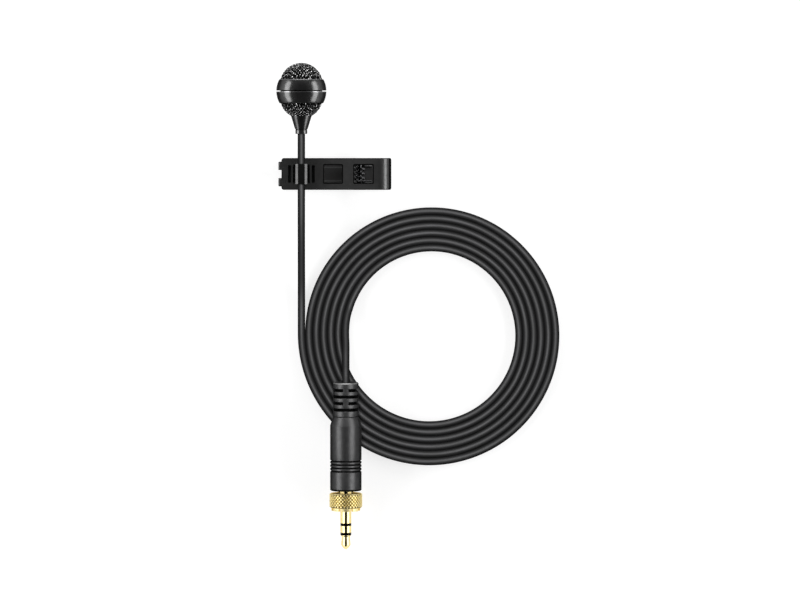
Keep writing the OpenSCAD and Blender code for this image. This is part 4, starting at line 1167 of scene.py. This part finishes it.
def blocks_round(count, first, half, outline):
    """That many blocks round the plug's axis, each an outline swept half degrees to both sides."""
    blocks = []
    for k in range(count):
        block = bmesh.new()
        slices = []
        for j in range(9):
            a = math.radians(first + 360 * k / count + half * (j / 4 - 1))
            spots = [(r * math.cos(a), r * math.sin(a), s) for r, s in outline]
            slices.append([block.verts.new(spot) for spot in spots])
        for here, there in zip(slices, slices[1:]):
            for i in range(len(outline)):
                n = (i + 1) % len(outline)
                block.faces.new((here[i], here[n], there[n], there[i]))
        block.faces.new(slices[0])
        block.faces.new(slices[-1])
        bmesh.ops.recalc_face_normals(block, faces=block.faces)
        for face in block.faces:
            face.material_index = 1
        block.transform(on_plug)
        blocks.append(block)
    return blocks


def gilded(name, roughness, valley=None):
    """Gold plate, slightly uneven in tone. Below a valley's radius it is darker."""
    material, start, spot = open_finish(name)
    tarnish = grain(start, spot, 1.1)
    haze = grain(start, spot, 0.15)
    tone = tarnish.ramp((0.3, (0.93, 0.78, 0.36)), (0.72, (0.99, 0.87, 0.48)))
    if valley:
        depth = from_axis(start, spot, valley, peak)
        tone = mixed(start, depth, (0.06, 0.035, 0.008, 1), tone)
    warm_edge = {"Specular Tint": (0.75, 0.5, 0.12, 1)}
    close_material(start, tone, roughness + 0.05 * haze, 1.0, others=warm_edge)
    return material


gold = gilded("gold_plate", 0.02)
rim_gold = gilded("gold_plate_rim", 0.42)
knurl_gold = gilded("gold_plate_knurled", 0.2, root_r + 0.02)
across, rows, filled = 30, 4, 0.84

inputs = {"Root radius": "Float", "Peak height": "Float", "Start": "Float", "Row height": "Float"}
inputs |= {"Diamonds": "Int", "Rows": "Int", "Plating": "Material"}
knurl, start, given = open_group("diamond_knurl", inputs)
root, columns = given["Root radius"], given["Diamonds"]
values = {"Size X": 1.0, "Size Y": 1.0, "Vertices X": columns, "Vertices Y": given["Rows"]}
grid = start.make("GeometryNodeMeshGrid", values)
spots = start.make("GeometryNodeMeshToPoints", {"Mesh": grid})
index = start.make("GeometryNodeInputIndex")
column = start.maths("FLOOR", (index + 0.5) / given["Rows"])
row = index - column * given["Rows"]
stagger = start.maths("MODULO", row, 2.0) * 0.5
angle = (column + stagger) / columns * (2 * math.pi)
station = given["Start"] + given["Row height"] * 0.5 * (row + 1)
values = {"X": root * start.maths("COSINE", angle), "Y": root * start.maths("SINE", angle)}
spot = start.make("ShaderNodeCombineXYZ", values | {"Z": station})
placed = start.make("GeometryNodeSetPosition", {"Geometry": spots, "Position": spot})
values = {"Vertices": 4, "Radius Top": 0.3, "Radius Bottom": 0.5, "Depth": given["Peak height"]}
block = start.make("GeometryNodeMeshCone", values, {"fill_type": "NGON"})
width = root * (2 * math.pi) / columns
values = {"X": given["Row height"] * filled, "Y": width * filled, "Z": 1.0}
shape = start.make("ShaderNodeCombineXYZ", values)
diamond = start.make("GeometryNodeTransform", {"Geometry": block, "Scale": shape})
stand_out = start.make("ShaderNodeCombineXYZ", {"X": 0.0, "Y": math.pi / 2, "Z": angle})
values = {"Points": placed, "Instance": diamond, "Rotation": stand_out}
field = start.make("GeometryNodeInstanceOnPoints", values)
close_group(start, field, given["Plating"])
values = {"Root radius": root_r - sunk, "Peak height": peak + sunk, "Start": knurl_at}
values |= {"Row height": (knurl_end - knurl_at) / rows, "Diamonds": across, "Rows": 2 * rows - 1}
diamonds = from_tree("diamonds", knurl, values | {"Plating": knurl_gold})
diamonds.transform(on_plug)

body_r, face_r, ring_bore, ring_seat, notch_w = root_r - 0.05, rim_r - 0.03, 2.6, 36.8, 1.3
corners = [(ring_bore, knurl_at, 0.05), (body_r, knurl_at, 0.2), (body_r, knurl_end, 0.2)]
corners += [(face_r, knurl_end, 0.04), (face_r, knurl_end + 0.06, 0)]
corners += [(rim_bore, knurl_end + 0.06, 0), (rim_bore, ring_seat, 0), (ring_bore, ring_seat, 0.05)]
body = turned(eased(corners, 3), on_plug, 144)
corners = [(rim_bore, knurl_end - 0.1, 0), (rim_r, knurl_end - 0.1, 0)]
corners += [(rim_r, rim_end, 0.15), (rim_bore, rim_end, 0.1)]
rim_notch = math.degrees(math.asin(notch_w / 2 / rim_r))
merlons = blocks_round(8, 90, 22.5 - rim_notch, eased(corners, 3))
finish_bands(body, on_plug, [(35, knurl_at + 0.25), (knurl_end - 0.1, rim_end)])
bm = joined(body, diamonds, *merlons)
lock_ring = piece_from("plug_lock_ring", bm, [knurl_gold, rim_gold], 25)
light_from(lock_ring, "pin")
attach(lock_ring, "lock")
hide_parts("lock_ring")

# ---- Plug contacts --------------------------------------------------------------------------
# The 3.5 mm pin: sleeve, ring and tip in gold plate, kept apart by two black insulators. The
# sleeve's flange traps the lock ring, and every contact runs back into the shell.

pin_r, sleeve_r, contact_break = 1.75, 2.55, 0.06
hub_from, hub_to, hub_r, hub_root, hub_slot = 35.1, 35.84, 2.46, 1.95, 1.0
corners = [(1.27, 27.78, 0), (sleeve_r, 27.78, 0), (sleeve_r, hub_from, 0)]
corners += [(hub_root, hub_from, 0), (hub_root, hub_to, 0), (sleeve_r, hub_to, 0)]
corners += [(sleeve_r, 36.85, 0), (3.3, 36.85, 0.08), (3.3, 37.65, 0.08), (2.6, 37.65, 0)]
corners += [(2.6, 40.2, 0.12), (pin_r, 40.2, 0.02), (pin_r, 45.75, contact_break), (1.27, 45.75, 0)]
sleeve = finish_bands(turned(eased(corners, 3), on_plug, 96), on_plug, [(27, 40.25)])
# Painted shade: the band between the hub's blocks is near black.
finish_bands(sleeve, on_plug, [(hub_from - 0.01, hub_to + 0.01)], 2)
hub = [(hub_root - 0.1, hub_from), (hub_r, hub_from), (hub_r, hub_to), (hub_root - 0.1, hub_to)]
hub_notch = math.degrees(math.asin(hub_slot / 2 / hub_r))
bm = joined(sleeve, *blocks_round(6, 120, 30 - hub_notch, hub))
plug_sleeve = piece_from("pin_sleeve", bm, [gold, rim_gold, shade_black])
light_from(plug_sleeve, "pin")
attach(plug_sleeve, "microphone")
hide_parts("plug_sleeve")

tip_corners = [(0, 23.0, 0), (0.59, 23.0, 0), (0.59, 49.45, 0), (1.55, 49.45, 0.05)]
tip_corners += [(1.55, 49.7, 0.1), (1.31, 50.05, 0.12), (1.31, 50.5, 0.3), (1.5, 52.45, 0.25)]
tip_corners += [(1.47, 52.85, 0.3), (0.6, 53.85, 0.2), (0.3, 54.18, 0.08), (0, 54.2, 0)]
ring_corners = [(0.83, 25.38, 0), (1.03, 25.38, 0), (1.03, 46.4, 0)]
ring_corners += [(pin_r, 46.4, contact_break), (pin_r, 48.8, contact_break), (0.83, 48.8, 0)]
for name, node, corners, steps in (
    ("pin_tip", "plug_tip", tip_corners, 4),
    ("pin_ring", "plug_ring", ring_corners, 3),
):
    contact = piece_from(name, turned(eased(corners, steps), on_plug, 96), gold)
    light_from(contact, "pin")
    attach(contact, "microphone")
    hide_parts(node)

insulator_black = moulded("insulator_black", (0.004, 0.004, 0.004), 0.3, 0.08)
washer_r = pin_r + 0.02
for name, node, back, r_in, r_out, washer_from, washer_to in (
    ("pin_rear_washer", "insulator_rear", 26.58, 1.05, 1.25, 45.63, 46.52),
    ("pin_front_washer", "insulator_front", 24.18, 0.61, 0.81, 48.68, 49.57),
):
    corners = [(r_in, back, 0), (r_out, back, 0), (r_out, washer_from, 0)]
    corners += [(washer_r, washer_from, 0.03), (washer_r, washer_to, 0.03), (r_in, washer_to, 0)]
    insulator = piece_from(name, turned(eased(corners, 3), on_plug, 96), insulator_black)
    light_from(insulator, "nothing")
    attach(insulator, "microphone")
    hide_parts(node)

# ---- Inside the plug ------------------------------------------------------------------------
# An insulating block holds the contacts in the shell. The sleeve's terminal is crimped round
# the cable, and two solder lugs take the cores.

tinned = bare_metal("terminal_tinned", (0.66, 0.66, 0.68), 0.3, 0.2)
for node, material in (
    ("plug_core", insulator_black),
    ("sleeve_clamp", tinned),
    ("plug_terminals", tinned),
    ("plug_wires", moulded("plug_core_insulation", (0.35, 0.04, 0.02), 0.45)),
    ("cable_plug_end", jacket),
):
    dress(node, material)

# ---- The cord as a whole --------------------------------------------------------------------
# The pieces that hang on the cable are listed once all are made: the boot, the shell, the lock
# ring and the contacts, with what they hold inside.

contacts = ("pin_ring", "pin_tip", "pin_rear_washer", "pin_front_washer")
inside = ("plug_core", "sleeve_clamp", "plug_terminals", "plug_wires", "cable_plug_end")
on_cable = [boot, shell, lock_ring, plug_sleeve, *(bpy.data.objects[name] for name in contacts)]
on_cable += [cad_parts[name] for name in inside]
[tuple(p * 0.001) for p in cable_route]
